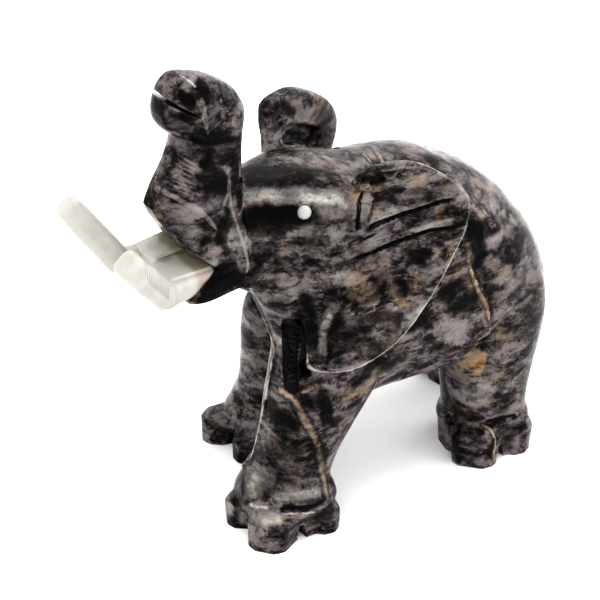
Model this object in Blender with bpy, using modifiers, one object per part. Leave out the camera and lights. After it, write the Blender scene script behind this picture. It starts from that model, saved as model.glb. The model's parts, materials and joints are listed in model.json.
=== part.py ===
"""Marble elephant sculpture, trunk raised, with two set-in tusks and two bead eyes.

Frame: the elephant stands on its four soles at Z = 0 and looks along -Y; its left
side is +X. The model is drawn about a working origin below the shoulders and moved
at the end so that the origin is the bottom centre of its bounding box.
"""
import math

import bmesh
import bpy
from mathutils import Matrix, Vector

MM = 0.001

# ---------------------------------------------------------------- driving dimensions (mm)
BODY_HALF_WIDTH = 26.5      # barrel, at its widest
BACK_TOP = 95.0             # highest point of the back
BELLY_Z = 28.0              # underside of the belly
HEAD_HALF_WIDTH = 15.6      # at the eyes
HEAD_FRONT_Y = -23.4        # where the sides of the face meet the trunk
FACE_SLOPE = 0.41           # how far the face widens per millimetre towards the ears
CHEEK_HALF_WIDTH = 13.4     # at the corner of the mouth
TRUNK_HALF_WIDTH = 8.6
TRUNK_BACK_Y = -21.8        # rear face of the raised trunk
EAR_THICKNESS = 5.0
EAR_ROOT_X = 18.8           # outer face of the ear where it meets the head
EAR_FLARE = 0.38           # how far the flap stands out per millimetre from its root
TUSK_ROOT_X = 9.2
TUSK_TIP_X = 15.6
PLATE_Z = (77.2, 82.7)       # underside and top of the flat between the tusks
PLATE_FRONT_Y = -44.6
EYE_DIAMETER = 4.3
EYE_CENTRE = (14.0, -8.2, 92.2)
GAP = 0.3                   # clearance round the separate pieces
LEG_LEFT_FRONT = (15.2, -15.2)    # centres of the soles
LEG_RIGHT_FRONT = (-21.4, 3.6)
LEG_LEFT_REAR = (14.2, 53.6)
LEG_RIGHT_REAR = (-18.6, 70.4)
FEET = (    # sole, spread of the foot, height of the toes, then angle, reach and width of each toe
    (LEG_LEFT_FRONT, 13.8, 10.5, ((-117, 16.6, 11.0), (-50, 18.0, 15.5), (27, 15.8, 12.0),
                                  (92, 14.0, 12.0), (164, 13.6, 12.0))),
    (LEG_RIGHT_FRONT, 12.6, 10.2, ((-120, 19.6, 12.5), (-56, 17.6, 13.0), (176, 15.0, 12.0),
                                   (108, 13.0, 12.0), (28, 12.6, 12.0))),
    (LEG_LEFT_REAR, 13.0, 12.5, ((-104, 12.8, 15.0), (-49, 16.8, 17.0), (27, 15.0, 11.5),
                                 (98, 13.2, 12.0), (165, 13.0, 12.0))),
    (LEG_RIGHT_REAR, 11.5, 12.0, ((-76, 10.9, 14.0), (-133, 13.0, 14.0), (156, 15.0, 12.0),
                                  (84, 13.0, 12.0), (15, 12.6, 12.0))),
)
CUT_DEPTH = 6.0             # how far the rough legs run below the floor before trimming
VOXEL = 1.15                # grain of the merged solid
TARGET_TRIANGLES = 7000


def clear_scene():
    for obj in list(bpy.data.objects):
        bpy.data.objects.remove(obj, do_unlink=True)


def new_collection(name, hidden=False):
    col = bpy.data.collections.new(name)
    bpy.context.scene.collection.children.link(col)
    col.hide_render = hidden
    return col


def mesh_object(name, bm, col, scale=MM):
    bmesh.ops.scale(bm, vec=(scale, scale, scale), verts=bm.verts)
    bmesh.ops.recalc_face_normals(bm, faces=bm.faces)
    mesh = bpy.data.meshes.new(name)
    bm.to_mesh(mesh)
    bm.free()
    obj = bpy.data.objects.new(name, mesh)
    col.objects.link(obj)
    return obj


def super_ring(centre, u, v, a, b, power, count=40, pinch=0.0):
    """Points of a super-ellipse with half axes a along u and b along v."""
    pts = []
    for i in range(count):
        t = 2.0 * math.pi * i / count
        ct, st = math.cos(t), math.sin(t)
        x = math.copysign(abs(ct) ** (2.0 / power), ct)
        y = math.copysign(abs(st) ** (2.0 / power), st)
        w = a * (1.0 - pinch * y)
        pts.append(centre + u * (x * w) + v * (y * b))
    return pts


def loft(name, rings, col):
    """Closed solid through a row of rings of equal length, with flat ends."""
    bm = bmesh.new()
    rows = [[bm.verts.new(p) for p in ring] for ring in rings]
    n = len(rows[0])
    for lower, upper in zip(rows, rows[1:]):
        for i in range(n):
            j = (i + 1) % n
            bm.faces.new((lower[i], lower[j], upper[j], upper[i]))
    bm.faces.new(list(reversed(rows[0])))
    bm.faces.new(rows[-1])
    return mesh_object(name, bm, col)


def smooth_rows(rows, steps):
    """Catmull-Rom interpolation of rows of numbers."""
    out = []
    last = len(rows) - 1
    for k in range(last):
        p0, p1 = rows[max(k - 1, 0)], rows[k]
        p2, p3 = rows[k + 1], rows[min(k + 2, last)]
        for s in range(steps):
            t = s / steps
            out.append([0.5 * (2 * b + (c - a) * t + (2 * a - 5 * b + 4 * c - d) * t * t
                               + (3 * b - a - 3 * c + d) * t ** 3)
                        for a, b, c, d in zip(p0, p1, p2, p3)])
    out.append(list(rows[-1]))
    return out


# ---------------------------------------------------------------- body masses
def torso(col):
    """Barrel of the body: stations along Y with top, bottom, half width, power."""
    top, low, hw = BACK_TOP, BELLY_Z, BODY_HALF_WIDTH
    stations = [
        (-13.5, 80.0, 62.0, 7.0, 2.2),
        (-10.5, 87.0, 57.5, 11.5, 2.3),
        (-5.0, top - 3.4, low + 18.0, hw - 10.0, 2.4),
        (4.0, top - 0.5, low + 1.0, hw - 2.0, 2.4),
        (18.0, top + 0.2, low - 0.5, hw, 2.3),
        (34.0, top - 1.8, low - 1.2, hw + 0.5, 2.3),
        (46.0, top - 6.6, low, hw + 0.3, 2.3),
        (56.5, top - 13.2, low + 1.0, hw - 1.3, 2.3),
        (65.5, top - 22.0, low + 1.0, hw - 4.4, 2.2),
        (72.3, top - 31.5, low + 5.0, hw - 10.0, 2.1),
        (76.3, top - 41.0, low + 13.0, hw - 17.5, 2.0),
    ]
    rings = []
    for y, zt, zb, w, p in smooth_rows(stations, 4):
        rings.append(super_ring(Vector((0, y, (zt + zb) / 2)), Vector((1, 0, 0)),
                                Vector((0, 0, 1)), w, (zt - zb) / 2, p, pinch=0.10))
    return loft("torso", rings, col)


def head(col):
    """Wedge that widens from the trunk to the ears, with flat sides."""
    hw = HEAD_HALF_WIDTH
    y0 = HEAD_FRONT_Y
    stations = [
        (y0 - 4.0, 83.4, hw - 8.0, 10.0, 3.0),
        (y0, 83.0, hw - 6.0, 13.0, 3.2),
        (y0 + 3.4, 82.6, hw - 4.4, 14.9, 3.2),
        (y0 + 8.4, 82.4, hw - 2.3, 16.2, 3.2),
        (y0 + 14.4, 82.2, hw, 16.8, 3.2),
        (y0 + 21.4, 82.0, hw + 2.4, 17.0, 3.0),
        (y0 + 29.0, 80.0, hw + 4.6, 17.5, 2.8),
        (y0 + 39.0, 78.0, hw + 6.0, 17.0, 2.6),
    ]
    rings = [super_ring(Vector((0, y, z)), Vector((1, 0, 0)), Vector((0, 0, 1)), a, b, p)
             for y, z, a, b, p in smooth_rows(stations, 3)]
    return loft("head", rings, col)


def jaw(col):
    """Lower lip: a wedge running forward under the roots of the tusks."""
    w = CHEEK_HALF_WIDTH + 0.7
    stations = [
        (-12.0, 77.0, w + 1.4, 11.0, 2.8),
        (-20.0, 78.2, w + 0.4, 7.8, 3.0),
        (-25.0, 78.6, w, 5.8, 3.4),
        (-28.0, 79.0, w, 5.3, 3.8),
        (-33.2, 78.3, w, 4.9, 4.4),
        (-37.0, 77.2, w, 3.8, 4.4),
        (-40.0, 76.3, w - 0.3, 2.4, 4.0),
        (-42.2, 75.7, w - 1.2, 1.3, 3.4),
    ]
    rings = [super_ring(Vector((0, y, z)), Vector((1, 0, 0)), Vector((0, 0, 1)), a, b, p)
             for y, z, a, b, p in stations]
    return loft("jaw", rings, col)


def trunk_section(z, y_back, y_front, half, chamfer, lean=0.0):
    """Six-sided section of the trunk: flat back and sides, two slanting front facets."""
    nose = half * 0.30
    c = chamfer
    back = min(2.2, half * 0.3)
    pts = [(half - back, y_back), (half, y_back - back), (half, y_front + c),
           (nose, y_front), (-nose, y_front), (-half, y_front + c),
           (-half, y_back - back), (-half + back, y_back)]
    return [Vector((x, y, z + lean * (y - y_back))) for x, y in pts]


def trunk(col):
    h, yb = TRUNK_HALF_WIDTH, TRUNK_BACK_Y
    w = CHEEK_HALF_WIDTH
    stations = [
        (73.5, yb, -25.0, w - 1.6, 1.2, 0.0),
        (78.0, yb, -29.5, w - 0.3, 1.4, 0.05),
        (82.0, yb, -33.4, w - 0.2, 1.4, 0.10),
        (86.4, yb, -37.2, w - 0.8, 1.4, 0.10),
        (90.2, yb, -40.2, h + 2.4, 1.6, 0.10),
        (94.0, yb, -42.2, h + 1.2, 2.4, 0.12),
        (98.0, yb, -44.8, h + 0.4, 7.8, 0.10),
        (101.0, yb, -46.2, h, 8.8, 0.08),
        (105.0, yb, -44.0, h, 9.0, 0.05),
        (110.0, yb, -40.3, h - 0.2, 6.0, 0.0),
        (115.0, yb + 0.5, -36.4, h - 0.4, 3.0, -0.12),
        (119.0, yb + 1.4, -34.4, h - 0.8, 2.2, -0.30),
        (121.0, yb + 1.8, -33.0, h - 1.6, 2.2, -0.55),
    ]
    rings = [trunk_section(*row) for row in stations]
    return loft("trunk", rings, col)


def trunk_tip(col):
    """The two lips at the end of the trunk, leaning forward, before the cleft is cut."""
    axis = Vector((0, -0.70, 0.714))
    side = Vector((1, 0, 0))
    up = Vector((0, 0.714, 0.70))
    start = Vector((0, -27.8, 113.5))
    h = TRUNK_HALF_WIDTH
    stations = [(0.0, h - 1.2, 8.4, 3.8), (5.0, h - 0.4, 9.1, 4.3), (10.0, h - 0.4, 9.0, 3.6),
                (14.5, h - 1.2, 8.3, 2.7), (17.4, h - 2.2, 6.8, 2.7), (19.6, h - 3.6, 4.7, 3.5),
                (21.3, h - 5.4, 2.6, 4.3)]
    rings = [super_ring(start + axis * d + up * s, side, up, a, b, 2.7, count=24)
             for d, a, b, s in stations]
    return loft("trunk_tip", rings, col)


def lip_cleft(col):
    """Narrow cutter that parts the lips and flares where they open."""
    bm = bmesh.new()
    w = TRUNK_HALF_WIDTH + 4.0
    profile = [(-34.4, 123.6), (-40.8, 128.5), (-48.0, 134.9), (-49.0, 133.4), (-41.6, 127.3),
               (-34.6, 123.2)]
    left = [bm.verts.new((w, y, z)) for y, z in profile]
    right = [bm.verts.new((-w, y, z)) for y, z in profile]
    n = len(profile)
    for i in range(n):
        j = (i + 1) % n
        bm.faces.new((left[i], left[j], right[j], right[i]))
    bm.faces.new(list(reversed(left)))
    bm.faces.new(right)
    return mesh_object("lip_cleft", bm, col)


# ---------------------------------------------------------------- ears
def ear_outline(side):
    """Side outline of the flap (Y, Z), from the notch over the root clockwise."""
    crown = [(4.0, 102.6), (8.0, 104.8), (13.0, 105.0)]
    if side < 0:
        crown = [(2.6, 104.6), (7.8, 106.2), (13.0, 106.0)]
    rear = [(1.6, 97.0)] + crown + [
            (18.0, 104.2), (23.0, 101.5), (28.0, 97.6), (31.4, 92.6), (31.9, 88.0), (30.2, 82.0),
            (26.6, 75.0), (21.6, 67.0), (15.4, 60.2), (9.0, 55.4)]
    lobe = [(3.0, 53.2), (-3.0, 52.0), (-8.6, 51.4), (-13.0, 51.6), (-14.4, 53.2), (-15.0, 58.5),
            (-15.2, 63.0), (-16.2, 65.0), (-19.0, 66.6)]
    cheek = [(-19.6, 73.0), (-14.0, 82.0), (-6.0, 88.5), (0.0, 92.5)]
    return rear + lobe + cheek


def blend(low, high, x):
    """0 below low, 1 above high, smooth between."""
    t = min(max((x - low) / (high - low), 0.0), 1.0)
    return t * t * (3.0 - 2.0 * t)


def ear_face_x(y, z):
    """Outer face of the flap: it runs on from the side of the face and then stands out."""
    r = math.hypot(y + 9.0, z - 90.0)
    spread = 0.25 + 0.75 * blend(-24.0, -4.0, y)
    free = (EAR_ROOT_X + EAR_FLARE * max(r - 3.0, 0.0) * spread
            - 0.0012 * max(r - 30.0, 0.0) ** 2)
    face = 9.2 + FACE_SLOPE * (y - HEAD_FRONT_Y) + 0.33 * max(88.0 - z, 0.0)
    start = -22.0 + 18.0 * blend(60.0, 86.0, z) - 16.0 * blend(92.0, 101.0, z)
    return face + (free - face) * blend(start, start + 20.0, y)


def ear(side, col):
    outline = ear_outline(side)
    cy = sum(p[0] for p in outline) / len(outline)
    cz = sum(p[1] for p in outline) / len(outline)
    bm = bmesh.new()
    shells = []
    for inner in (False, True):
        rows = []
        for k in range(1, 7):
            f = k / 6.0
            row = []
            for y, z in outline:
                py, pz = cy + (y - cy) * f, cz + (z - cz) * f
                x = ear_face_x(py, pz)
                if k == 6:
                    x -= 0.7
                if inner:
                    x -= EAR_THICKNESS - (1.4 if k == 6 else 0.0)
                row.append(bm.verts.new((side * x, py, pz)))
            rows.append(row)
        x = ear_face_x(cy, cz) - (EAR_THICKNESS if inner else 0.0)
        middle = bm.verts.new((side * x, cy, cz))
        n = len(outline)
        for i in range(n):
            bm.faces.new((middle, rows[0][i], rows[0][(i + 1) % n]))
        for a, b in zip(rows, rows[1:]):
            for i in range(n):
                j = (i + 1) % n
                bm.faces.new((a[i], b[i], b[j], a[j]))
        shells.append(rows[-1])
    n = len(outline)
    for i in range(n):
        j = (i + 1) % n
        bm.faces.new((shells[0][i], shells[1][i], shells[1][j], shells[0][j]))
    return mesh_object("ear_%s" % ("left" if side > 0 else "right"), bm, col)


def ear_root(side, col):
    """Fills between the flap and the neck, so that only the rim of the ear stands free."""
    rings = []
    for y, z, a, b in ((-18.5, 72.0, 3.0, 4.0), (-13.0, 71.5, 5.0, 10.5), (-4.0, 72.0, 6.5, 16.5),
                       (6.0, 74.0, 6.5, 17.5), (14.0, 76.5, 5.0, 13.0), (20.0, 78.5, 2.5, 7.0)):
        x = side * (ear_face_x(y, z) - 1.0 - a)
        rings.append(super_ring(Vector((x, y, z)), Vector((1, 0, 0)), Vector((0, 0, 1)), a, b, 2.2,
                                count=24))
    return loft("ear_root", rings, col)


# ---------------------------------------------------------------- legs
def leg(name, stations, col):
    rings = [super_ring(Vector((x, y, z)), Vector((1, 0, 0)), Vector((0, 1, 0)), a, b, 2.3, count=32)
             for z, x, y, a, b in smooth_rows(stations, 3)]
    return loft(name, rings, col)


def front_leg(name, sole, shoulder, col, slim=1.0, brisket=False):
    """Front leg; with a brisket it runs on up to the jaw as the fore edge of the chest."""
    (x, y), (sx, sy) = sole, shoulder
    rows = []
    for z, f, a, b, dy in ((-CUT_DEPTH, 0.0, 11.6, 11.6, 0.0), (4.0, 0.02, 11.4, 11.4, 0.0),
                           (10.0, 0.06, 10.8, 11.0, 0.0), (16.0, 0.18, 10.0, 11.2, -0.8),
                           (22.0, 0.32, 10.2, 11.8, -0.5), (30.0, 0.52, 11.0, 13.8, 0.4),
                           (40.0, 0.78, 12.0, 16.3, 1.1)):
        rows.append((z, x + (sx - x) * f, y + (sy - y) * f + dy, a * slim, b * slim))
    if brisket:
        rows += [(50.0, sx - 0.3, sy - 0.4, 11.5, 16.0), (54.0, sx - 0.6, sy - 1.8, 11.0, 14.4),
                 (58.5, sx - 1.5, sy - 4.0, 10.0, 13.0), (64.0, sx - 2.7, sy - 6.0, 9.3, 12.6),
                 (70.0, sx - 3.5, sy - 8.5, 8.5, 12.5), (75.0, sx - 4.5, sy - 10.5, 8.0, 12.0)]
    else:
        rows += [(49.0, sx, sy, 11.5 * slim, 15.4 * slim), (56.0, sx, sy + 1.5, 9.5 * slim, 12.0 * slim),
                 (66.0, sx, sy + 2.0, 6.0 * slim, 8.0 * slim)]
    return leg(name, rows, col)


def rear_leg(name, sole, hip, col, slim=1.0):
    (x, y), (hx, hy) = sole, hip
    rows = []
    for z, f, a, b in ((-CUT_DEPTH, 0.0, 11.2, 11.8), (4.0, 0.0, 11.4, 11.8),
                       (10.0, 0.03, 11.2, 11.8), (17.0, 0.15, 11.1, 12.2), (25.0, 0.45, 11.8, 13.6),
                       (34.0, 0.80, 12.6, 15.6), (44.0, 1.0, 12.8, 17.0), (53.0, 1.04, 11.6, 15.5),
                       (61.0, 1.08, 8.5, 11.0), (66.0, 1.10, 4.5, 6.0)):
        rows.append((z, x + (hx - x) * f, y + (hy - y) * f, a * slim, b * slim))
    return leg(name, rows, col)


def foot(sole, radius, col):
    """Spreading mass from which the toes are cut, undercut between them near the floor."""
    x, y = sole
    rings = [super_ring(Vector((x, y, z)), Vector((1, 0, 0)), Vector((0, 1, 0)), r, r, 2.2, count=32)
             for z, r in ((-CUT_DEPTH, radius - 2.0), (2.0, radius - 1.9), (5.0, radius - 0.8),
                          (8.0, radius), (11.0, radius - 0.7), (14.0, radius - 2.0),
                          (18.0, radius - 3.6))]
    return loft("foot", rings, col)


def toe(centre, angle, reach, width, height, col):
    """One blocky toe: a chamfered block, narrower at its tip, pointing out of the foot."""
    bm = bmesh.new()
    bmesh.ops.create_cube(bm, size=1.0)
    length = 11.0
    bmesh.ops.scale(bm, vec=(length, width, height + CUT_DEPTH), verts=bm.verts)
    for v in bm.verts:
        if v.co.x > 0.0:
            v.co.y *= 0.66
            if v.co.z > 0.0:
                v.co.z -= 2.2
    bmesh.ops.bevel(bm, geom=list(bm.edges), offset=2.0, segments=1, profile=0.5,
                    affect='EDGES', clamp_overlap=True)
    for v in bm.verts:
        if v.co.z < 0.0 and v.co.x > 0.0:
            v.co.x -= 0.10 * abs(v.co.z)
    spin = Matrix.Rotation(math.radians(angle), 4, 'Z')
    place = Vector((centre[0], centre[1], (height - CUT_DEPTH) / 2.0))
    reachv = Vector((math.cos(math.radians(angle)), math.sin(math.radians(angle)), 0.0))
    place = place + reachv * (reach - length / 2.0)
    bmesh.ops.transform(bm, matrix=Matrix.Translation(place) @ spin, verts=bm.verts)
    return mesh_object("toe", bm, col)


def tail(col):
    """Low ridge of a tail lying against the rump."""
    rings = []
    for y, z, a, b in smooth_rows([(66.0, 66.0, 2.6, 2.4), (72.6, 60.0, 2.6, 2.6),
                                   (76.6, 51.0, 2.2, 2.4), (76.9, 42.0, 2.0, 2.2),
                                   (75.4, 36.5, 2.4, 2.2), (73.0, 32.5, 1.2, 1.2)], 3):
        rings.append(super_ring(Vector((0, y, z)), Vector((1, 0, 0)), Vector((0, 0.80, 0.60)), a, b,
                                2.0, count=16))
    return loft("tail", rings, col)


# ---------------------------------------------------------------- joining and trimming
def join(objects, name, col):
    bm = bmesh.new()
    for obj in objects:
        bm.from_mesh(obj.data)
        bpy.data.objects.remove(obj, do_unlink=True)
    mesh = bpy.data.meshes.new(name)
    bm.to_mesh(mesh)
    bm.free()
    out = bpy.data.objects.new(name, mesh)
    col.objects.link(out)
    return out


def apply_modifiers(obj):
    """Replace the object's mesh by the result of its modifiers."""
    graph = bpy.context.evaluated_depsgraph_get()
    mesh = bpy.data.meshes.new_from_object(obj.evaluated_get(graph))
    obj.modifiers.clear()
    obj.data = mesh
    return obj


def merge(obj, voxel, smoothing=0):
    rem = obj.modifiers.new("merge", 'REMESH')
    rem.mode = 'VOXEL'
    rem.voxel_size = voxel * MM
    rem.use_smooth_shade = False
    if smoothing:
        smo = obj.modifiers.new("polish", 'SMOOTH')
        smo.factor = 0.5
        smo.iterations = smoothing
    return apply_modifiers(obj)


def boolean(obj, cutter, operation):
    mod = obj.modifiers.new("trim", 'BOOLEAN')
    mod.operation = operation
    mod.solver = 'EXACT'
    mod.object = cutter
    return apply_modifiers(obj)


def box(name, low, high, col):
    bm = bmesh.new()
    bmesh.ops.create_cube(bm, size=1.0)
    size = [h - l for l, h in zip(low, high)]
    mid = [(h + l) / 2 for l, h in zip(low, high)]
    bmesh.ops.scale(bm, vec=size, verts=bm.verts)
    bmesh.ops.translate(bm, vec=mid, verts=bm.verts)
    return mesh_object(name, bm, col)


def reduce_to(obj, triangles):
    obj.data.calc_loop_triangles()
    now = len(obj.data.loop_triangles)
    if now > triangles:
        dec = obj.modifiers.new("facets", 'DECIMATE')
        dec.ratio = triangles / now
        dec.use_collapse_triangulate = True
        apply_modifiers(obj)
    return obj


# ---------------------------------------------------------------- tusks and eyes
def root_slope(side):
    """How much the root climbs towards the head: the right one sits a little steeper."""
    return 0.0 if side > 0 else 0.15


def tusk_path(side):
    """Level root in the mouth, a bend, and a straight rise out to the tip; with half sizes."""
    bend_y, tip = (-48.6, (-61.0, 93.9)) if side > 0 else (-49.3, (-60.4, 96.0))
    x, z = TUSK_ROOT_X, 79.2
    rise = root_slope(side)
    path = [(x, -31.0, z + rise * 13.5, 3.1), (x + 0.3, -38.0, z + rise * 6.5, 3.1),
            (x + 1.2, -44.5, z, 3.15), (x + 1.5, bend_y + 2.0, z, 3.3),
            (x + 1.7, bend_y + 0.8, z + 0.2, 3.7)]
    for f, r in ((0.04, 3.9), (0.14, 3.75), (0.55, 3.8), (1.0, 3.65)):
        path.append((x + 1.8 + (TUSK_TIP_X - x - 1.8) * f, bend_y + (tip[0] - bend_y) * f,
                     z + (tip[1] - z) * f, r))
    return [(Vector((side * a, b, c)), r) for a, b, c, r in path]


def tusk_rings(side, extra):
    path = tusk_path(side)
    pts = [p for p, r in path]
    out = []
    for i, (p, r) in enumerate(path):
        d = (pts[min(i + 1, len(pts) - 1)] - pts[max(i - 1, 0)]).normalized()
        v = d.cross(Vector((1, 0, 0))).normalized()
        u = v.cross(d).normalized()
        r += extra
        out.append(super_ring(p, u, v, min(r, 3.7 + extra) * 0.92, r, 3.2, count=16))
    for reach, shrink in ((0.20, 0.96), (0.38, 0.84), (0.48, 0.62)):
        out.append(super_ring(p + d * (r * reach), u, v, r * 0.92 * shrink, r * shrink, 3.0, count=16))
    return out


def tusk_plate(side, extra, col):
    """Flat inner half of the root, by which the pair of tusks sits in the mouth."""
    inner = GAP - extra
    outer = TUSK_ROOT_X + 1.5
    plan = [(inner, -31.0 + extra), (inner, PLATE_FRONT_Y - extra), (outer * 0.5, PLATE_FRONT_Y - 0.6 - extra),
            (outer, PLATE_FRONT_Y - extra), (outer, -31.0 + extra)]
    rise = root_slope(side)
    rings = [[Vector((side * x, y, z + rise * (y - PLATE_FRONT_Y))) for x, y in plan]
             for z in (PLATE_Z[0] - extra, PLATE_Z[1] + extra)]
    return loft("plate", rings, col)


def tusk(side, col, scrap):
    name = "tusk_left" if side > 0 else "tusk_right"
    arm = loft(name, tusk_rings(side, 0.0), col)
    return boolean(arm, tusk_plate(side, 0.0, scrap), 'UNION')


def tusk_socket(side, col):
    rings = tusk_rings(side, GAP)
    back = [p + Vector((0, GAP, 0)) for p in rings[0]]
    return boolean(loft("socket", [back] + rings, col), tusk_plate(side, GAP, col), 'UNION')


def ball(name, centre, diameter, col, rings=8, segments=16, stretch=1.0):
    bm = bmesh.new()
    bmesh.ops.create_uvsphere(bm, u_segments=segments, v_segments=rings, radius=diameter / 2.0)
    bmesh.ops.rotate(bm, cent=(0, 0, 0), matrix=Matrix.Rotation(math.radians(90), 3, 'Y'),
                     verts=bm.verts)
    bmesh.ops.scale(bm, vec=(stretch, 1.0, 1.0), verts=bm.verts)
    bmesh.ops.translate(bm, vec=centre, verts=bm.verts)
    return mesh_object(name, bm, col)


def material(obj, name, colour, roughness):
    mat = bpy.data.materials.new(name)
    mat.use_nodes = True
    shader = mat.node_tree.nodes["Principled BSDF"]
    shader.inputs["Base Color"].default_value = (*colour, 1.0)
    shader.inputs["Roughness"].default_value = roughness
    obj.data.materials.clear()
    obj.data.materials.append(mat)
    for poly in obj.data.polygons:
        poly.material_index = 0


def main():
    clear_scene()
    parts = new_collection("marble_elephant_parts")
    cutters = new_collection("cutters", hidden=True)

    masses = [torso(cutters), head(cutters), jaw(cutters), trunk(cutters), tail(cutters),
              ear(1, cutters), ear(-1, cutters), ear_root(1, cutters), ear_root(-1, cutters),
              front_leg("leg", LEG_LEFT_FRONT, (14.5, -0.5), cutters, brisket=True),
              front_leg("leg", LEG_RIGHT_FRONT, (-14.5, 7.0), cutters, 0.88),
              rear_leg("leg", LEG_LEFT_REAR, (13.6, 54.5), cutters),
              rear_leg("leg", LEG_RIGHT_REAR, (-13.6, 60.0), cutters, 0.90)]
    for sole, spread, height, toes in FEET:
        masses.append(foot(sole, spread, cutters))
        for angle, reach, width in toes:
            masses.append(toe(sole, angle, reach, width, height, cutters))
    tip = trunk_tip(cutters)
    cleft = lip_cleft(cutters)
    tip = boolean(tip, cleft, 'DIFFERENCE')
    masses.append(tip)

    body = join(masses, "marble_elephant", parts)
    body = merge(body, VOXEL, 2)
    body = boolean(body, cleft, 'DIFFERENCE')
    reduce_to(body, TARGET_TRIANGLES)
    for side in (1, -1):
        body = boolean(body, tusk_socket(side, cutters), 'DIFFERENCE')
        x, y, z = EYE_CENTRE
        body = boolean(body, ball("socket", (side * x, y, z), EYE_DIAMETER + 2 * GAP, cutters, 8, 14),
                       'DIFFERENCE')
    ground = box("ground", (-80, -120, -40), (80, 140, 0), cutters)
    body = boolean(body, ground, 'DIFFERENCE')

    nodes = [body]
    for side, label in ((1, "left"), (-1, "right")):
        nodes.append(tusk(side, parts, cutters))
        x, y, z = EYE_CENTRE
        nodes.append(ball("eye_%s" % label, (side * x, y, z), EYE_DIAMETER, parts))

    low = [min(v.co[k] for o in nodes for v in o.data.vertices) for k in range(3)]
    high = [max(v.co[k] for o in nodes for v in o.data.vertices) for k in range(3)]
    shift = Vector((-(low[0] + high[0]) / 2, -(low[1] + high[1]) / 2, -low[2]))
    for obj in nodes:
        for v in obj.data.vertices:
            v.co += shift
    print("SHIFT_MM", [round(c * 1000, 4) for c in shift])
    print("SIZE_MM", [round((h - l) * 1000, 3) for l, h in zip(low, high)])
    for obj in nodes:
        obj.data.calc_loop_triangles()
        print("TRIS", obj.name, len(obj.data.loop_triangles))

    for obj in nodes:
        if obj.name.startswith("marble"):
            material(obj, "dark_marble", (0.10, 0.09, 0.095), 0.25)
        elif obj.name.startswith("tusk"):
            material(obj, "pale_stone_%s" % obj.name, (0.80, 0.77, 0.68), 0.35)
        else:
            material(obj, "white_bead_%s" % obj.name, (0.85, 0.85, 0.83), 0.3)
    for obj in cutters.objects:
        obj.hide_render = True
        obj.display_type = 'WIRE'


main()
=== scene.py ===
"""Visual model of a small carved marble elephant: fine carving, polished stone, plain studio.

The elephant looks along -Y and its left side is +X. Shapes are drawn in millimetres about a
working origin below the shoulders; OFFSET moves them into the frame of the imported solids.
"""
import json
import math

import bmesh
import bpy
import numpy as np
from mathutils import Matrix, Vector

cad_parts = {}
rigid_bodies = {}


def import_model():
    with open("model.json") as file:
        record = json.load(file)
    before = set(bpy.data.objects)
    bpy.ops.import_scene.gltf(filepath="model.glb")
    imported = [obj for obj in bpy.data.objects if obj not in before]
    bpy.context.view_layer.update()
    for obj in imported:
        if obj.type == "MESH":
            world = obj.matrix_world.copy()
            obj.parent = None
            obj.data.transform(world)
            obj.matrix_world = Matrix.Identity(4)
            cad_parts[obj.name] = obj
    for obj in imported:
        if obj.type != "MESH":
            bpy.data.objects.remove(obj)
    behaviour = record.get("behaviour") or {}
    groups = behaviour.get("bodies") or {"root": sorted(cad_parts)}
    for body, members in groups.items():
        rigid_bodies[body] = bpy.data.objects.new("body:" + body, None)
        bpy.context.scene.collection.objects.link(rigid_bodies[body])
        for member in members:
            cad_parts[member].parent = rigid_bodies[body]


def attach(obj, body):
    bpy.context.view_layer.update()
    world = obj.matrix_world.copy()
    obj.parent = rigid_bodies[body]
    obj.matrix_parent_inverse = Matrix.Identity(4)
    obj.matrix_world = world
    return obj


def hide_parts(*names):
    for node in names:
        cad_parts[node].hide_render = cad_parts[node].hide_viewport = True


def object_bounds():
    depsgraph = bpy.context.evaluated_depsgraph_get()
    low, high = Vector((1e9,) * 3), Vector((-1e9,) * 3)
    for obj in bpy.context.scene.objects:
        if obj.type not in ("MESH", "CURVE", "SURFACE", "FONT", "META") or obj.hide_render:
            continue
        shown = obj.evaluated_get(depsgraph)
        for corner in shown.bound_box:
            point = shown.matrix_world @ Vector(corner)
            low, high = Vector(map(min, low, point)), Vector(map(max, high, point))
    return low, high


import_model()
CAD_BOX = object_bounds()

MM = 0.001
OFFSET = (2.0877, -9.4826, 0.0)

# ---------------------------------------------------------------- driving dimensions (mm)
BODY_HALF_WIDTH = 26.5      # barrel, at its widest
BACK_TOP = 95.0             # highest point of the back
BELLY_Z = 28.0              # underside of the belly
HEAD_HALF_WIDTH = 15.6      # at the eyes
HEAD_FRONT_Y = -23.4        # where the sides of the face meet the trunk
FACE_SLOPE = 0.41           # how far the face widens per millimetre towards the ears
CHEEK_HALF_WIDTH = 13.4     # at the corner of the mouth
TRUNK_HALF_WIDTH = 8.6
TRUNK_BACK_Y = -21.8        # rear face of the raised trunk
EAR_THICKNESS = 5.0
EAR_ROOT_X = 18.8           # outer face of the ear where it meets the head
EAR_FLARE = 0.38           # how far the flap stands out per millimetre from its root
TUSK_ROOT_X = 9.2
TUSK_TIP_X = 15.6
PLATE_Z = (77.2, 82.7)       # underside and top of the flat between the tusks
PLATE_FRONT_Y = -44.6
EYE_DIAMETER = 4.3
EYE_CENTRE = (14.0, -8.2, 92.2)
GAP = 0.3                   # clearance round the separate pieces
LEG_LEFT_FRONT = (15.2, -15.2)    # centres of the soles
LEG_RIGHT_FRONT = (-21.4, 3.6)
LEG_LEFT_REAR = (14.2, 53.6)
LEG_RIGHT_REAR = (-18.6, 70.4)
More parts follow.
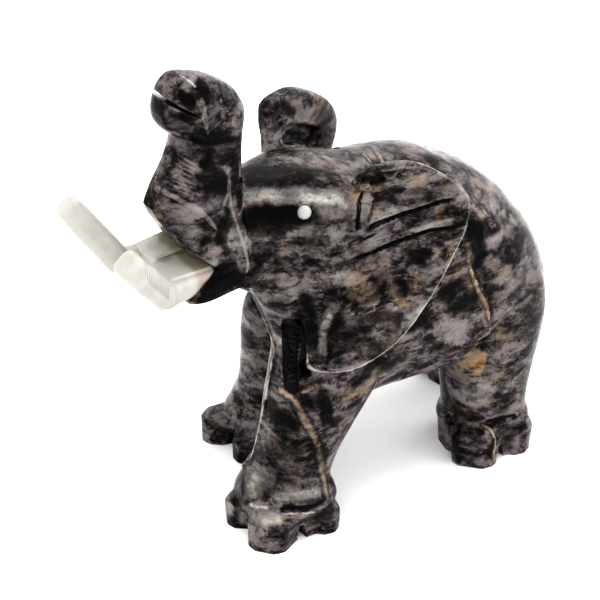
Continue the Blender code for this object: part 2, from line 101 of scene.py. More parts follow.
FEET = (    # sole, spread of the foot, height of the toes, then angle, reach and width of each toe
    (LEG_LEFT_FRONT, 13.8, 10.5, ((-117, 16.6, 11.0), (-52, 18.0, 14.5), (33, 15.8, 10.5),
                                  (92, 14.0, 12.0), (164, 13.6, 12.0))),
    (LEG_RIGHT_FRONT, 12.6, 10.2, ((-120, 19.6, 12.5), (-56, 17.6, 13.0), (176, 15.0, 12.0),
                                   (108, 13.0, 12.0), (28, 12.6, 12.0))),
    (LEG_LEFT_REAR, 13.0, 12.5, ((-104, 12.8, 15.0), (-49, 16.8, 17.0), (27, 15.0, 11.5),
                                 (98, 13.2, 12.0), (165, 13.0, 12.0))),
    (LEG_RIGHT_REAR, 11.5, 12.0, ((-76, 10.9, 14.0), (-133, 13.0, 14.0), (156, 15.0, 12.0),
                                  (84, 13.0, 12.0), (15, 12.6, 12.0))),
)
TOE_GAPS = (    # sole, spread of the foot, direction of the gap between two toes
    (LEG_LEFT_FRONT, 13.8, -10.0), (LEG_LEFT_FRONT, 13.8, -84.0),
    (LEG_LEFT_REAR, 13.0, -12.0), (LEG_LEFT_REAR, 13.0, -77.0),
    (LEG_RIGHT_FRONT, 12.6, -90.0), (LEG_RIGHT_REAR, 11.5, -104.0),
)
CUT_DEPTH = 6.0             # how far the rough legs run below the floor before trimming
VOXEL = 0.5
TARGET_TRIANGLES = 188000
BEAD = EYE_DIAMETER * 0.90      # the bead shows a little less than its full width in the stone
DETAIL = 2                  # how many times finer than the plain solid the curves are drawn
AZIMUTH, ELEVATION, DISTANCE, LENS = 56.0, 30.5, 0.62, 137.64
LOOK_AT = (0.0, 0.0, 56.5)


# ---------------------------------------------------------------- small tools
def mesh_object(name, bm, col, scale=MM):
    bmesh.ops.scale(bm, vec=(scale, scale, scale), verts=bm.verts)
    bmesh.ops.recalc_face_normals(bm, faces=bm.faces)
    mesh = bpy.data.meshes.new(name)
    bm.to_mesh(mesh)
    bm.free()
    obj = bpy.data.objects.new(name, mesh)
    col.objects.link(obj)
    return obj


def super_ring(centre, u, v, a, b, power, count=40, pinch=0.0):
    """Points of a super-ellipse with half axes a along u and b along v."""
    pts = []
    count = count * DETAIL
    for i in range(count):
        t = 2.0 * math.pi * i / count
        ct, st = math.cos(t), math.sin(t)
        x = math.copysign(abs(ct) ** (2.0 / power), ct)
        y = math.copysign(abs(st) ** (2.0 / power), st)
        w = a * (1.0 - pinch * y)
        pts.append(centre + u * (x * w) + v * (y * b))
    return pts


def loft(name, rings, col):
    """Closed solid through a row of rings of equal length, with flat ends."""
    bm = bmesh.new()
    rows = [[bm.verts.new(p) for p in ring] for ring in rings]
    n = len(rows[0])
    for lower, upper in zip(rows, rows[1:]):
        for i in range(n):
            j = (i + 1) % n
            bm.faces.new((lower[i], lower[j], upper[j], upper[i]))
    bm.faces.new(list(reversed(rows[0])))
    bm.faces.new(rows[-1])
    return mesh_object(name, bm, col)


def smooth_rows(rows, steps):
    """Catmull-Rom interpolation of rows of numbers."""
    out = []
    steps = steps * DETAIL
    last = len(rows) - 1
    for k in range(last):
        p0, p1 = rows[max(k - 1, 0)], rows[k]
        p2, p3 = rows[k + 1], rows[min(k + 2, last)]
        for s in range(steps):
            t = s / steps
            out.append([0.5 * (2 * b + (c - a) * t + (2 * a - 5 * b + 4 * c - d) * t * t
                               + (3 * b - a - 3 * c + d) * t ** 3)
                        for a, b, c, d in zip(p0, p1, p2, p3)])
    out.append(list(rows[-1]))
    return out


def join(objects, name, col):
    bm = bmesh.new()
    for obj in objects:
        bm.from_mesh(obj.data)
        bpy.data.objects.remove(obj, do_unlink=True)
    mesh = bpy.data.meshes.new(name)
    bm.to_mesh(mesh)
    bm.free()
    out = bpy.data.objects.new(name, mesh)
    col.objects.link(out)
    return out


def apply_modifiers(obj):
    """Replace the object's mesh by the result of its modifiers."""
    graph = bpy.context.evaluated_depsgraph_get()
    mesh = bpy.data.meshes.new_from_object(obj.evaluated_get(graph))
    obj.modifiers.clear()
    obj.data = mesh
    return obj


def boolean(obj, cutter, operation):
    mod = obj.modifiers.new("trim", 'BOOLEAN')
    mod.operation = operation
    mod.solver = 'EXACT'
    mod.object = cutter
    return apply_modifiers(obj)


def box(name, low, high, col):
    bm = bmesh.new()
    bmesh.ops.create_cube(bm, size=1.0)
    size = [h - l for l, h in zip(low, high)]
    mid = [(h + l) / 2 for l, h in zip(low, high)]
    bmesh.ops.scale(bm, vec=size, verts=bm.verts)
    bmesh.ops.translate(bm, vec=mid, verts=bm.verts)
    return mesh_object(name, bm, col)


def ball(name, centre, diameter, col, rings=8, segments=16, stretch=1.0):
    bm = bmesh.new()
    bmesh.ops.create_uvsphere(bm, u_segments=segments, v_segments=rings, radius=diameter / 2.0)
    bmesh.ops.rotate(bm, cent=(0, 0, 0), matrix=Matrix.Rotation(math.radians(90), 3, 'Y'),
                     verts=bm.verts)
    bmesh.ops.scale(bm, vec=(stretch, 1.0, 1.0), verts=bm.verts)
    bmesh.ops.translate(bm, vec=centre, verts=bm.verts)
    return mesh_object(name, bm, col)


# ---------------------------------------------------------------- the masses of the body
def torso(col):
    """Barrel of the body: stations along Y with top, bottom, half width, power."""
    top, low, hw = BACK_TOP, BELLY_Z, BODY_HALF_WIDTH
    stations = [
        (-13.5, 80.0, 62.0, 7.0, 2.2),
        (-10.5, 87.0, 57.5, 11.5, 2.3),
        (-5.0, top - 3.4, low + 18.0, hw - 10.0, 2.4),
        (4.0, top - 0.5, low + 1.0, hw - 2.0, 2.4),
        (18.0, top + 0.2, low - 0.5, hw, 2.3),
        (34.0, top - 1.8, low - 1.2, hw + 0.5, 2.3),
        (46.0, top - 6.6, low, hw + 0.3, 2.3),
        (56.5, top - 13.2, low + 1.0, hw - 1.3, 2.3),
        (65.5, top - 22.0, low + 1.0, hw - 4.4, 2.2),
        (72.3, top - 31.5, low + 5.0, hw - 10.0, 2.1),
        (76.3, top - 41.0, low + 13.0, hw - 17.5, 2.0),
    ]
    rings = []
    for y, zt, zb, w, p in smooth_rows(stations, 4):
        rings.append(super_ring(Vector((0, y, (zt + zb) / 2)), Vector((1, 0, 0)),
                                Vector((0, 0, 1)), w, (zt - zb) / 2, p, pinch=0.10))
    return loft("torso", rings, col)


def head(col):
    """Wedge that widens from the trunk to the ears, with flat sides."""
    hw = HEAD_HALF_WIDTH
    y0 = HEAD_FRONT_Y
    stations = [
        (y0 - 4.0, 83.4, hw - 8.0, 10.0, 3.0),
        (y0, 83.0, hw - 6.0, 13.0, 3.2),
        (y0 + 3.4, 82.6, hw - 4.4, 14.9, 3.2),
        (y0 + 8.4, 82.4, hw - 2.3, 16.2, 3.2),
        (y0 + 14.4, 82.2, hw, 16.8, 3.2),
        (y0 + 21.4, 82.0, hw + 2.4, 17.0, 3.0),
        (y0 + 29.0, 80.0, hw + 4.6, 17.5, 2.8),
        (y0 + 39.0, 78.0, hw + 6.0, 17.0, 2.6),
    ]
    rings = [super_ring(Vector((0, y, z)), Vector((1, 0, 0)), Vector((0, 0, 1)), a, b, p)
             for y, z, a, b, p in smooth_rows(stations, 3)]
    return loft("head", rings, col)


def jaw(col):
    """Lower lip: a wedge running forward under the roots of the tusks."""
    w = CHEEK_HALF_WIDTH + 0.7
    stations = [
        (-12.0, 77.0, w + 1.4, 11.0, 2.8),
        (-20.0, 78.2, w + 0.4, 7.8, 3.0),
        (-25.0, 78.6, w, 5.8, 3.4),
        (-28.0, 79.0, w, 5.3, 3.8),
        (-33.2, 78.3, w, 4.9, 4.4),
        (-37.0, 77.2, w, 3.8, 4.4),
        (-40.0, 76.3, w - 0.3, 2.4, 4.0),
        (-42.2, 75.7, w - 1.2, 1.3, 3.4),
    ]
    rings = [super_ring(Vector((0, y, z)), Vector((1, 0, 0)), Vector((0, 0, 1)), a, b, p)
             for y, z, a, b, p in smooth_rows([list(r) for r in stations], 1)]
    return loft("jaw", rings, col)


def trunk_section(z, y_back, y_front, half, chamfer, lean=0.0):
    """Six-sided section of the trunk: flat back and sides, two slanting front facets."""
    nose = half * 0.30
    c = chamfer
    back = min(2.2, half * 0.3)
    pts = [(half - back, y_back), (half, y_back - back), (half, y_front + c),
           (nose, y_front), (-nose, y_front), (-half, y_front + c),
           (-half, y_back - back), (-half + back, y_back)]
    return [Vector((x, y, z + lean * (y - y_back))) for x, y in pts]


def trunk(col):
    h, yb = TRUNK_HALF_WIDTH, TRUNK_BACK_Y
    w = CHEEK_HALF_WIDTH
    stations = [
        (73.5, yb, -25.0, w - 1.6, 1.2, 0.0),
        (78.0, yb, -29.5, w - 0.3, 1.4, 0.05),
        (82.0, yb, -33.4, w - 0.2, 1.4, 0.10),
        (86.4, yb, -37.2, w - 0.8, 1.4, 0.10),
        (90.2, yb, -40.2, h + 2.4, 1.6, 0.10),
        (94.0, yb, -42.2, h + 1.2, 2.4, 0.12),
        (98.0, yb, -44.8, h + 0.4, 7.8, 0.10),
        (101.0, yb, -46.2, h, 8.8, 0.08),
        (105.0, yb, -44.0, h, 9.0, 0.05),
        (110.0, yb, -40.3, h - 0.2, 6.0, 0.0),
        (115.0, yb + 0.5, -36.4, h - 0.4, 3.0, -0.12),
        (119.0, yb + 1.4, -34.4, h - 0.8, 2.2, -0.30),
        (121.0, yb + 1.8, -33.0, h - 1.6, 2.2, -0.55),
    ]
    rings = [trunk_section(*row) for row in stations]
    return loft("trunk", rings, col)


def trunk_tip(col):
    """The two lips at the end of the trunk, leaning forward, before the cleft is cut."""
    axis = Vector((0, -0.70, 0.714))
    side = Vector((1, 0, 0))
    up = Vector((0, 0.714, 0.70))
    start = Vector((0, -27.8, 113.5))
    h = TRUNK_HALF_WIDTH
    stations = [(0.0, h - 1.2, 8.4, 3.8), (5.0, h - 0.4, 9.1, 4.3), (10.0, h - 0.4, 9.0, 3.6),
                (14.5, h - 1.2, 8.3, 2.7), (17.4, h - 2.2, 6.8, 2.7), (19.6, h - 3.6, 4.7, 3.5),
                (21.3, h - 5.4, 2.6, 4.3)]
    rings = [super_ring(start + axis * d + up * s, side, up, a, b, 2.7, count=24)
             for d, a, b, s in smooth_rows([list(r) for r in stations], 1)]
    return loft("trunk_tip", rings, col)


def lip_cleft(col):
    """Narrow cutter that parts the lips and flares where they open."""
    bm = bmesh.new()
    w = TRUNK_HALF_WIDTH + 4.0
    profile = [(-34.4, 123.6), (-40.8, 128.3), (-48.0, 134.3), (-48.3, 134.0), (-41.6, 127.5),
               (-34.6, 123.2)]
    left = [bm.verts.new((w, y, z)) for y, z in profile]
    right = [bm.verts.new((-w, y, z)) for y, z in profile]
    n = len(profile)
    for i in range(n):
        j = (i + 1) % n
        bm.faces.new((left[i], left[j], right[j], right[i]))
    bm.faces.new(list(reversed(left)))
    bm.faces.new(right)
    return mesh_object("lip_cleft", bm, col)


def ear_outline(side):
    """Side outline of the flap (Y, Z), from the notch over the root clockwise."""
    crown = [(4.0, 102.6), (8.0, 104.8), (13.0, 105.0)]
    if side < 0:
        crown = [(2.6, 104.6), (7.8, 106.2), (13.0, 106.0)]
    rear = [(1.6, 97.0)] + crown + [
            (18.0, 104.2), (23.0, 101.5), (28.0, 97.6), (31.4, 92.6), (31.9, 88.0), (30.2, 82.0),
            (26.6, 75.0), (21.6, 67.0), (15.4, 60.2), (9.0, 55.4)]
    lobe = [(3.0, 53.2), (-3.0, 52.0), (-8.6, 51.4), (-13.0, 51.6), (-14.4, 53.2), (-15.0, 58.5),
            (-15.2, 63.0), (-16.2, 65.0), (-19.0, 66.6)]
    cheek = [(-19.6, 73.0), (-14.0, 82.0), (-6.0, 88.5), (0.0, 92.5)]
    return rear + lobe + cheek


def blend(low, high, x):
    """0 below low, 1 above high, smooth between."""
    t = min(max((x - low) / (high - low), 0.0), 1.0)
    return t * t * (3.0 - 2.0 * t)


def ear_face_x(y, z):
    """Outer face of the flap: it runs on from the side of the face and then stands out."""
    r = math.hypot(y + 9.0, z - 90.0)
    spread = 0.25 + 0.75 * blend(-24.0, -4.0, y)
    free = (EAR_ROOT_X + EAR_FLARE * max(r - 3.0, 0.0) * spread
            - 0.0012 * max(r - 30.0, 0.0) ** 2)
    face = 9.2 + FACE_SLOPE * (y - HEAD_FRONT_Y) + 0.33 * max(88.0 - z, 0.0)
    start = -22.0 + 18.0 * blend(60.0, 86.0, z) - 16.0 * blend(92.0, 101.0, z)
    return face + (free - face) * blend(start, start + 20.0, y)


def ear(side, col):
    outline = smooth_rows([list(p) for p in ear_outline(side)], 1)
    cy = sum(p[0] for p in outline) / len(outline)
    cz = sum(p[1] for p in outline) / len(outline)
    bm = bmesh.new()
    shells = []
    for inner in (False, True):
        rows = []
        for k in range(1, 19):
            f = k / 18.0
            row = []
            for y, z in outline:
                py, pz = cy + (y - cy) * f, cz + (z - cz) * f
                x = ear_face_x(py, pz)
                if k == 18:
                    x -= 0.7
                if inner:
                    x -= EAR_THICKNESS - (1.4 if k == 18 else 0.0)
                row.append(bm.verts.new((side * x, py, pz)))
            rows.append(row)
        x = ear_face_x(cy, cz) - (EAR_THICKNESS if inner else 0.0)
        middle = bm.verts.new((side * x, cy, cz))
        n = len(outline)
        for i in range(n):
            bm.faces.new((middle, rows[0][i], rows[0][(i + 1) % n]))
        for a, b in zip(rows, rows[1:]):
            for i in range(n):
                j = (i + 1) % n
                bm.faces.new((a[i], b[i], b[j], a[j]))
        shells.append(rows[-1])
    n = len(outline)
    for i in range(n):
        j = (i + 1) % n
        bm.faces.new((shells[0][i], shells[1][i], shells[1][j], shells[0][j]))
    return mesh_object("ear_%s" % ("left" if side > 0 else "right"), bm, col)


def ear_root(side, col):
    """Fills between the flap and the neck, so that only the rim of the ear stands free."""
    rings = []
    for y, z, a, b in ((-18.5, 72.0, 3.0, 4.0), (-13.0, 71.5, 5.0, 10.5), (-4.0, 72.0, 6.5, 16.5),
                       (6.0, 74.0, 6.5, 17.5), (14.0, 76.5, 5.0, 13.0), (20.0, 78.5, 2.5, 7.0)):
        x = side * (ear_face_x(y, z) - 1.0 - a)
        rings.append(super_ring(Vector((x, y, z)), Vector((1, 0, 0)), Vector((0, 0, 1)), a, b, 2.2,
                                count=24))
    return loft("ear_root", rings, col)


def leg(name, stations, col):
    rings = [super_ring(Vector((x, y, z)), Vector((1, 0, 0)), Vector((0, 1, 0)), a, b, 2.3, count=32)
             for z, x, y, a, b in smooth_rows(stations, 3)]
    return loft(name, rings, col)


def front_leg(name, sole, shoulder, col, slim=1.0, brisket=False):
    """Front leg; with a brisket it runs on up to the jaw as the fore edge of the chest."""
    (x, y), (sx, sy) = sole, shoulder
    rows = []
    for z, f, a, b, dy in ((-CUT_DEPTH, 0.0, 11.6, 11.6, 0.0), (4.0, 0.02, 11.4, 11.4, 0.0),
                           (10.0, 0.06, 10.8, 11.0, 0.0), (16.0, 0.18, 10.0, 11.2, -0.8),
                           (22.0, 0.32, 10.2, 11.8, -0.5), (30.0, 0.52, 11.0, 13.8, 0.4),
                           (40.0, 0.78, 12.0, 16.3, 1.1)):
        rows.append((z, x + (sx - x) * f, y + (sy - y) * f + dy, a * slim, b * slim))
    if brisket:
        rows += [(50.0, sx - 0.3, sy - 0.4, 11.5, 16.0), (54.0, sx - 0.6, sy - 1.8, 11.0, 14.4),
                 (58.5, sx - 1.5, sy - 4.0, 10.0, 13.0), (64.0, sx - 2.7, sy - 6.0, 9.3, 12.6),
                 (70.0, sx - 3.5, sy - 8.5, 8.5, 12.5), (75.0, sx - 4.5, sy - 10.5, 8.0, 12.0)]
    else:
        rows += [(49.0, sx, sy, 11.5 * slim, 15.4 * slim), (56.0, sx, sy + 1.5, 9.5 * slim, 12.0 * slim),
                 (66.0, sx, sy + 2.0, 6.0 * slim, 8.0 * slim)]
    return leg(name, rows, col)


def rear_leg(name, sole, hip, col, slim=1.0):
    (x, y), (hx, hy) = sole, hip
    rows = []
    for z, f, a, b in ((-CUT_DEPTH, 0.0, 11.2, 11.8), (4.0, 0.0, 11.4, 11.8),
                       (10.0, 0.03, 11.2, 11.8), (17.0, 0.15, 11.1, 12.2), (25.0, 0.45, 11.8, 13.6),
                       (34.0, 0.80, 12.6, 15.6), (44.0, 1.0, 12.8, 17.0), (53.0, 1.04, 11.6, 15.5),
                       (61.0, 1.08, 8.5, 11.0), (66.0, 1.10, 4.5, 6.0)):
        rows.append((z, x + (hx - x) * f, y + (hy - y) * f, a * slim, b * slim))
    return leg(name, rows, col)


def foot(sole, radius, col):
    """Spreading mass from which the toes are cut, undercut between them near the floor."""
    x, y = sole
    rings = [super_ring(Vector((x, y, z)), Vector((1, 0, 0)), Vector((0, 1, 0)), r, r, 2.2, count=32)
             for z, r in ((-CUT_DEPTH, radius - 5.5), (2.0, radius - 4.8), (5.0, radius - 2.6),
                          (7.5, radius - 0.5), (9.0, radius), (11.0, radius - 0.5), (14.0, radius - 2.0),
                          (18.0, radius - 3.6))]
    return loft("foot", rings, col)


def toe(centre, angle, reach, width, height, col):
    """One blocky toe: a chamfered block, narrower at its tip, pointing out of the foot."""
    bm = bmesh.new()
    bmesh.ops.create_cube(bm, size=1.0)
    length = 11.0
    bmesh.ops.scale(bm, vec=(length, width, height + CUT_DEPTH), verts=bm.verts)
    for v in bm.verts:
        if v.co.x > 0.0:
            v.co.y *= 0.66
            if v.co.z > 0.0:
                v.co.z -= 2.2
    bmesh.ops.bevel(bm, geom=list(bm.edges), offset=2.0, segments=1, profile=0.5,
                    affect='EDGES', clamp_overlap=True)
    for v in bm.verts:
        if v.co.z < 0.0 and v.co.x > 0.0:
            v.co.x -= 0.10 * abs(v.co.z)
    spin = Matrix.Rotation(math.radians(angle), 4, 'Z')
    place = Vector((centre[0], centre[1], (height - CUT_DEPTH) / 2.0))
    reachv = Vector((math.cos(math.radians(angle)), math.sin(math.radians(angle)), 0.0))
    place = place + reachv * (reach - length / 2.0)
    bmesh.ops.transform(bm, matrix=Matrix.Translation(place) @ spin, verts=bm.verts)
    return mesh_object("toe", bm, col)


def toe_gap(sole, angle, spread, col):
    """Low wedge that opens outwards between two toes."""
    bm = bmesh.new()
    bmesh.ops.create_cube(bm, size=1.0)
    bmesh.ops.scale(bm, vec=(14.0, 7.4, 9.0), verts=bm.verts)
    for v in bm.verts:
        if v.co.x < 0.0:
            v.co.y *= 0.26
        if v.co.z > 0.0:
            v.co.y *= 0.42
            v.co.z += 0.11 * v.co.x
    bmesh.ops.triangulate(bm, faces=list(bm.faces))
    turn = math.radians(angle)
    reach = spread - 6.2 + 7.0
    bmesh.ops.rotate(bm, cent=(0, 0, 0), matrix=Matrix.Rotation(turn, 3, 'Z'), verts=bm.verts)
    bmesh.ops.translate(bm, vec=(sole[0] + reach * math.cos(turn), sole[1] + reach * math.sin(turn), 0.2),
                        verts=bm.verts)
    return mesh_object("toe_gap", bm, col)


def tail(col):
    """Low ridge of a tail lying against the rump."""
    rings = []
    for y, z, a, b in smooth_rows([(66.0, 66.0, 2.6, 2.4), (72.6, 60.0, 2.6, 2.6),
                                   (76.6, 51.0, 2.2, 2.4), (76.9, 42.0, 2.0, 2.2),
                                   (75.4, 36.5, 2.4, 2.2), (73.0, 32.5, 1.2, 1.2)], 3):
        rings.append(super_ring(Vector((0, y, z)), Vector((1, 0, 0)), Vector((0, 0.80, 0.60)), a, b,
                                2.0, count=16))
    return loft("tail", rings, col)


def root_slope(side):
    """How much the root climbs towards the head: the right one sits a little steeper."""
    return 0.0 if side > 0 else 0.15


def tusk_path(side):
    """Level root in the mouth, a bend, and a straight rise out to the tip; with half sizes."""
    bend_y, tip = (-48.6, (-61.0, 93.9)) if side > 0 else (-49.3, (-60.4, 96.0))
    x, z = TUSK_ROOT_X, 79.2
    rise = root_slope(side)
    path = [(x, -31.0, z + rise * 13.5, 3.1), (x + 0.3, -38.0, z + rise * 6.5, 3.1),
            (x + 1.2, -44.5, z, 3.15), (x + 1.5, bend_y + 2.0, z, 3.3),
            (x + 1.7, bend_y + 0.8, z + 0.2, 3.7)]
    for f, r in ((0.04, 3.9), (0.14, 3.75), (0.55, 3.8), (1.0, 3.65)):
        path.append((x + 1.8 + (TUSK_TIP_X - x - 1.8) * f, bend_y + (tip[0] - bend_y) * f,
                     z + (tip[1] - z) * f, r))
    return [(Vector((side * a, b, c)), r) for a, b, c, r in path]


def tusk_rings(side, extra):
    path = tusk_path(side)
    pts = [p for p, r in path]
    out = []
    for i, (p, r) in enumerate(path):
        d = (pts[min(i + 1, len(pts) - 1)] - pts[max(i - 1, 0)]).normalized()
        v = d.cross(Vector((1, 0, 0))).normalized()
        u = v.cross(d).normalized()
        r += extra
        out.append(super_ring(p, u, v, min(r, 3.7 + extra) * 0.92, r, 3.2, count=16))
    for reach, shrink in ((0.20, 0.96), (0.38, 0.84), (0.48, 0.62)):
        out.append(super_ring(p + d * (r * reach), u, v, r * 0.92 * shrink, r * shrink, 3.0, count=16))
    return out


def tusk_plate(side, extra, col):
    """Flat inner half of the root, by which the pair of tusks sits in the mouth."""
    inner = GAP - extra
    outer = TUSK_ROOT_X + 1.5
    front = PLATE_FRONT_Y - (2.6 if side > 0 else 0.0)
    plan = [(inner, -31.0 + extra), (inner, front - extra), (outer * 0.5, front - 0.6 - extra),
            (outer, front - extra), (outer, -31.0 + extra)]
    rise = root_slope(side)
    rings = [[Vector((side * x, y, z + rise * (y - PLATE_FRONT_Y))) for x, y in plan]
             for z in (PLATE_Z[0] - extra, PLATE_Z[1] + 0.25 + extra)]
    return loft("plate", rings, col)


def tusk(side, col, scrap):
    name = "tusk_left" if side > 0 else "tusk_right"
    arm = loft(name, tusk_rings(side, 0.0), col)
    return boolean(arm, tusk_plate(side, 0.0, scrap), 'UNION')


def tusk_socket(side, col):
    rings = tusk_rings(side, GAP)
    back = [p + Vector((0, GAP, 0)) for p in rings[0]]
    return boolean(loft("socket", [back] + rings, col), tusk_plate(side, GAP, col), 'UNION')


# ---------------------------------------------------------------- numbers on vertices
def coords(mesh):
    co = np.empty(len(mesh.vertices) * 3, np.float32)
    mesh.vertices.foreach_get("co", co)
    return co.reshape(-1, 3).astype(float) / MM


def normals(mesh):
    no = np.empty(len(mesh.vertices) * 3, np.float32)
    mesh.vertices.foreach_get("normal", no)
    return no.reshape(-1, 3).astype(float)


def edges(mesh):
    e = np.empty(len(mesh.edges) * 2, np.int32)
    mesh.edges.foreach_get("vertices", e)
    return e.reshape(-1, 2)


def put_coords(mesh, p):
    mesh.vertices.foreach_set("co", (p * MM).astype(np.float32).ravel())
    mesh.update()


def neighbour_mean(e, values):
    n = len(values)
    count = np.bincount(e.ravel(), minlength=n).astype(float)
    out = np.empty_like(values)
    cols = values.reshape(n, -1)
    res = np.empty_like(cols)
    for k in range(cols.shape[1]):
        c = cols[:, k]
        res[:, k] = (np.bincount(e[:, 0], c[e[:, 1]], n) + np.bincount(e[:, 1], c[e[:, 0]], n)) / \
            np.maximum(count, 1)
    out[...] = res.reshape(values.shape)
    return out


def step(a, b, x):
    t = np.clip((x - a) / (b - a), 0.0, 1.0)
    return t * t * (3.0 - 2.0 * t)


def lattice(ix, iy, iz, seed):
    h = (ix * 73856093) ^ (iy * 19349663) ^ (iz * 83492791) ^ (seed * 1640531)
    h = (h ^ (h >> 13)) * 1274126177 & 0x7fffffff
    h = (h ^ (h >> 16)) & 0xffff
    return h / 65535.0


def noise(p, scale, seed):
    """Smooth value noise between 0 and 1 at points p, with features of that size in mm."""
    q = p / scale
    i = np.floor(q).astype(np.int64)
    f = q - i
    w = f * f * f * (f * (f * 6 - 15) + 10)
    total = np.zeros(len(p))
    for dx in (0, 1):
        for dy in (0, 1):
            for dz in (0, 1):
                k = (w[:, 0] if dx else 1 - w[:, 0]) * (w[:, 1] if dy else 1 - w[:, 1]) \
                    * (w[:, 2] if dz else 1 - w[:, 2])
                total += k * lattice(i[:, 0] + dx, i[:, 1] + dy, i[:, 2] + dz, seed)
    return total


def near_path(p, n, path):
    """Distance from a chiselled line measured along the surface, and how far along it, 0 to 1."""
    path = np.array(path, float)
    legs = np.linalg.norm(np.diff(path, axis=0), axis=1)
    start = np.concatenate([[0.0], np.cumsum(legs)])
    best = np.full(len(p), 1e9)
    along = np.zeros(len(p))
    for k in range(len(path) - 1):
        a, ab = path[k], path[k + 1] - path[k]
        t = np.clip(((p - a) @ ab) / (ab @ ab), 0.0, 1.0)
        d = p - (a + t[:, None] * ab)
        lift = np.einsum('ij,ij->i', d, n)
        flat = np.linalg.norm(d - lift[:, None] * n, axis=1)
        flat = np.where(np.abs(lift) > 3.2, 1e9, flat)
        closer = flat < best
        best = np.where(closer, flat, best)
        along = np.where(closer, (start[k] + t * legs[k]) / start[-1], along)
    return best, along


def groove(p, n, path, width, depth, fade=0.12):
    """Round-bottomed cut that runs out at its ends."""
    d, t = near_path(p, n, path)
    ends = step(0.0, fade, t) * step(0.0, fade, 1.0 - t) if fade else 1.0
    k = np.clip(1.0 - d / width, 0.0, 1.0)
    return -depth * k * k * (3.0 - 2.0 * k) * ends


def dimple(p, n, centre, radius, depth):
    d = np.linalg.norm(p - np.array(centre), axis=1)
    return -depth * step(radius, radius * 0.45, d)


def mirrored(path):
    return [(-x, y, z) for x, y, z in path]


# ---------------------------------------------------------------- carved lines, left side
EAR_FOLD_UPPER = [(22.9, 3.8, 85.5), (23.3, 7.3, 87.6), (26.6, 14.7, 90.4), (30.0, 23.3, 92.5),
                  (31.5, 28.6, 93.0)]
EAR_FOLD_LOWER = [(22.7, -1.3, 79.4), (24.6, 6.2, 80.6), (26.1, 12.1, 82.4), (29.2, 20.9, 84.6),
                  (31.9, 29.4, 84.7)]
EAR_PLEAT = [(22.8, 2.0, 83.0), (24.5, 8.0, 84.8), (26.6, 13.5, 86.6), (29.5, 22.0, 88.6),
             (31.6, 28.6, 88.9)]
EAR_HINGE = [(23.3, 3.9, 99.7), (22.2, 3.5, 95.8), (21.2, 3.7, 89.5), (22.4, 2.6, 85.7)]
EAR_HINGE_BACK = [(24.2, 7.4, 98.6), (23.6, 7.2, 95.0), (23.2, 6.6, 91.0), (23.0, 5.6, 88.0)]
EAR_HOLE = (24.9, 7.1, 101.1)
EAR_NOTCH = (26.7, 12.4, 102.1)
RIB_CHANNEL = [(18.9, -15.9, 63.5), (18.7, -15.7, 57.2), (18.7, -15.8, 51.0), (20.0, -16.3, 45.7)]
EAR_SLOT = [(20.6, -15.0, 65.8), (21.6, -14.6, 62.0), (22.2, -14.6, 57.0), (22.1, -14.0, 52.2),
            (22.6, -13.3, 48.2)]
TRUNK_CREASE = [(-1.6, -44.1, 103.5), (3.4, -42.9, 103.6), (6.3, -39.8, 101.4), (8.8, -36.1, 98.6),
                (9.3, -33.9, 95.5), (10.6, -31.5, 91.5)]
FACE_RIDGE = [(8.6, -27.1, 103.2), (8.9, -27.3, 97.7), (10.2, -26.2, 92.2), (12.1, -25.6, 87.1),
              (13.4, -25.0, 82.2), (14.1, -27.0, 78.2)]
TRUNK_EDGE = [(8.4, -29.4, 110.3), (8.5, -27.2, 106.0), (8.6, -27.7, 101.1), (9.1, -30.1, 96.9)]
TIP_RIDGE = [(6.2, -33.8, 129.5), (7.7, -33.7, 124.7), (7.9, -33.1, 119.1)]
TIP_CURVE = [(7.9, -33.0, 118.5), (8.1, -28.7, 122.1), (6.2, -28.6, 128.4)]
LEG_VEIN = [(11.9, -18.3, 41.8), (18.1, -17.6, 43.3), (21.1, -16.4, 42.2), (23.6, -14.9, 37.7),
            (24.9, -13.3, 33.1), (25.4, -11.6, 27.3), (25.0, -9.8, 21.5), (24.9, -8.6, 15.1),
            (26.5, -9.4, 12.3), (27.8, -9.0, 8.7)]
LEG_EDGE = [(13.6, -16.8, 53.0), (12.4, -17.2, 48.5), (12.2, -18.5, 40.8), (11.9, -20.4, 32.2),
            (10.9, -22.3, 22.6), (9.5, -23.6, 15.0)]
CHEST_EDGE = [(9.5, -21.0, 70.0), (9.8, -19.6, 64.0), (11.2, -17.8, 58.0), (13.6, -16.8, 53.0)]
INSTEP_LINE = [(17.2, -28.1, 10.5), (20.5, -27.3, 11.2), (23.7, -25.1, 11.8)]
TOE_LINE_FRONT = [(24.5, -24.6, 11.7), (27.7, -18.3, 11.7), (28.0, -11.4, 10.4)]
TOE_LINE_REAR = [(23.7, 46.2, 12.7), (25.3, 51.1, 13.3), (25.4, 57.5, 12.3)]
HIND_TOE_STEP = [(23.7, 45.7, 12.1), (25.8, 47.2, 11.0), (27.6, 47.4, 9.1), (28.0, 46.7, 2.2)]
PANEL_EDGE = [(24.1, 36.1, 73.7), (25.5, 37.3, 68.8), (26.8, 39.4, 61.0), (27.1, 42.6, 54.2),
              (26.6, 43.8, 49.5), (26.0, 44.6, 44.9)]
PANEL_FOOT = [(26.0, 44.6, 44.9), (25.6, 38.8, 43.2), (24.8, 32.6, 41.4), (23.9, 26.6, 39.8),
              (23.6, 18.4, 40.3)]
FAR_PAD = (-22.6, 13.5, 103.0)
FAR_LEDGE = [(-19.2, 5.0, 99.3), (-21.2, 12.0, 97.2), (-23.4, 19.0, 94.2)]
FAR_RECESS = [(-20.0, 9.5, 95.6), (-21.6, 14.5, 93.6), (-23.5, 19.8, 90.6)]


RIBS = 13


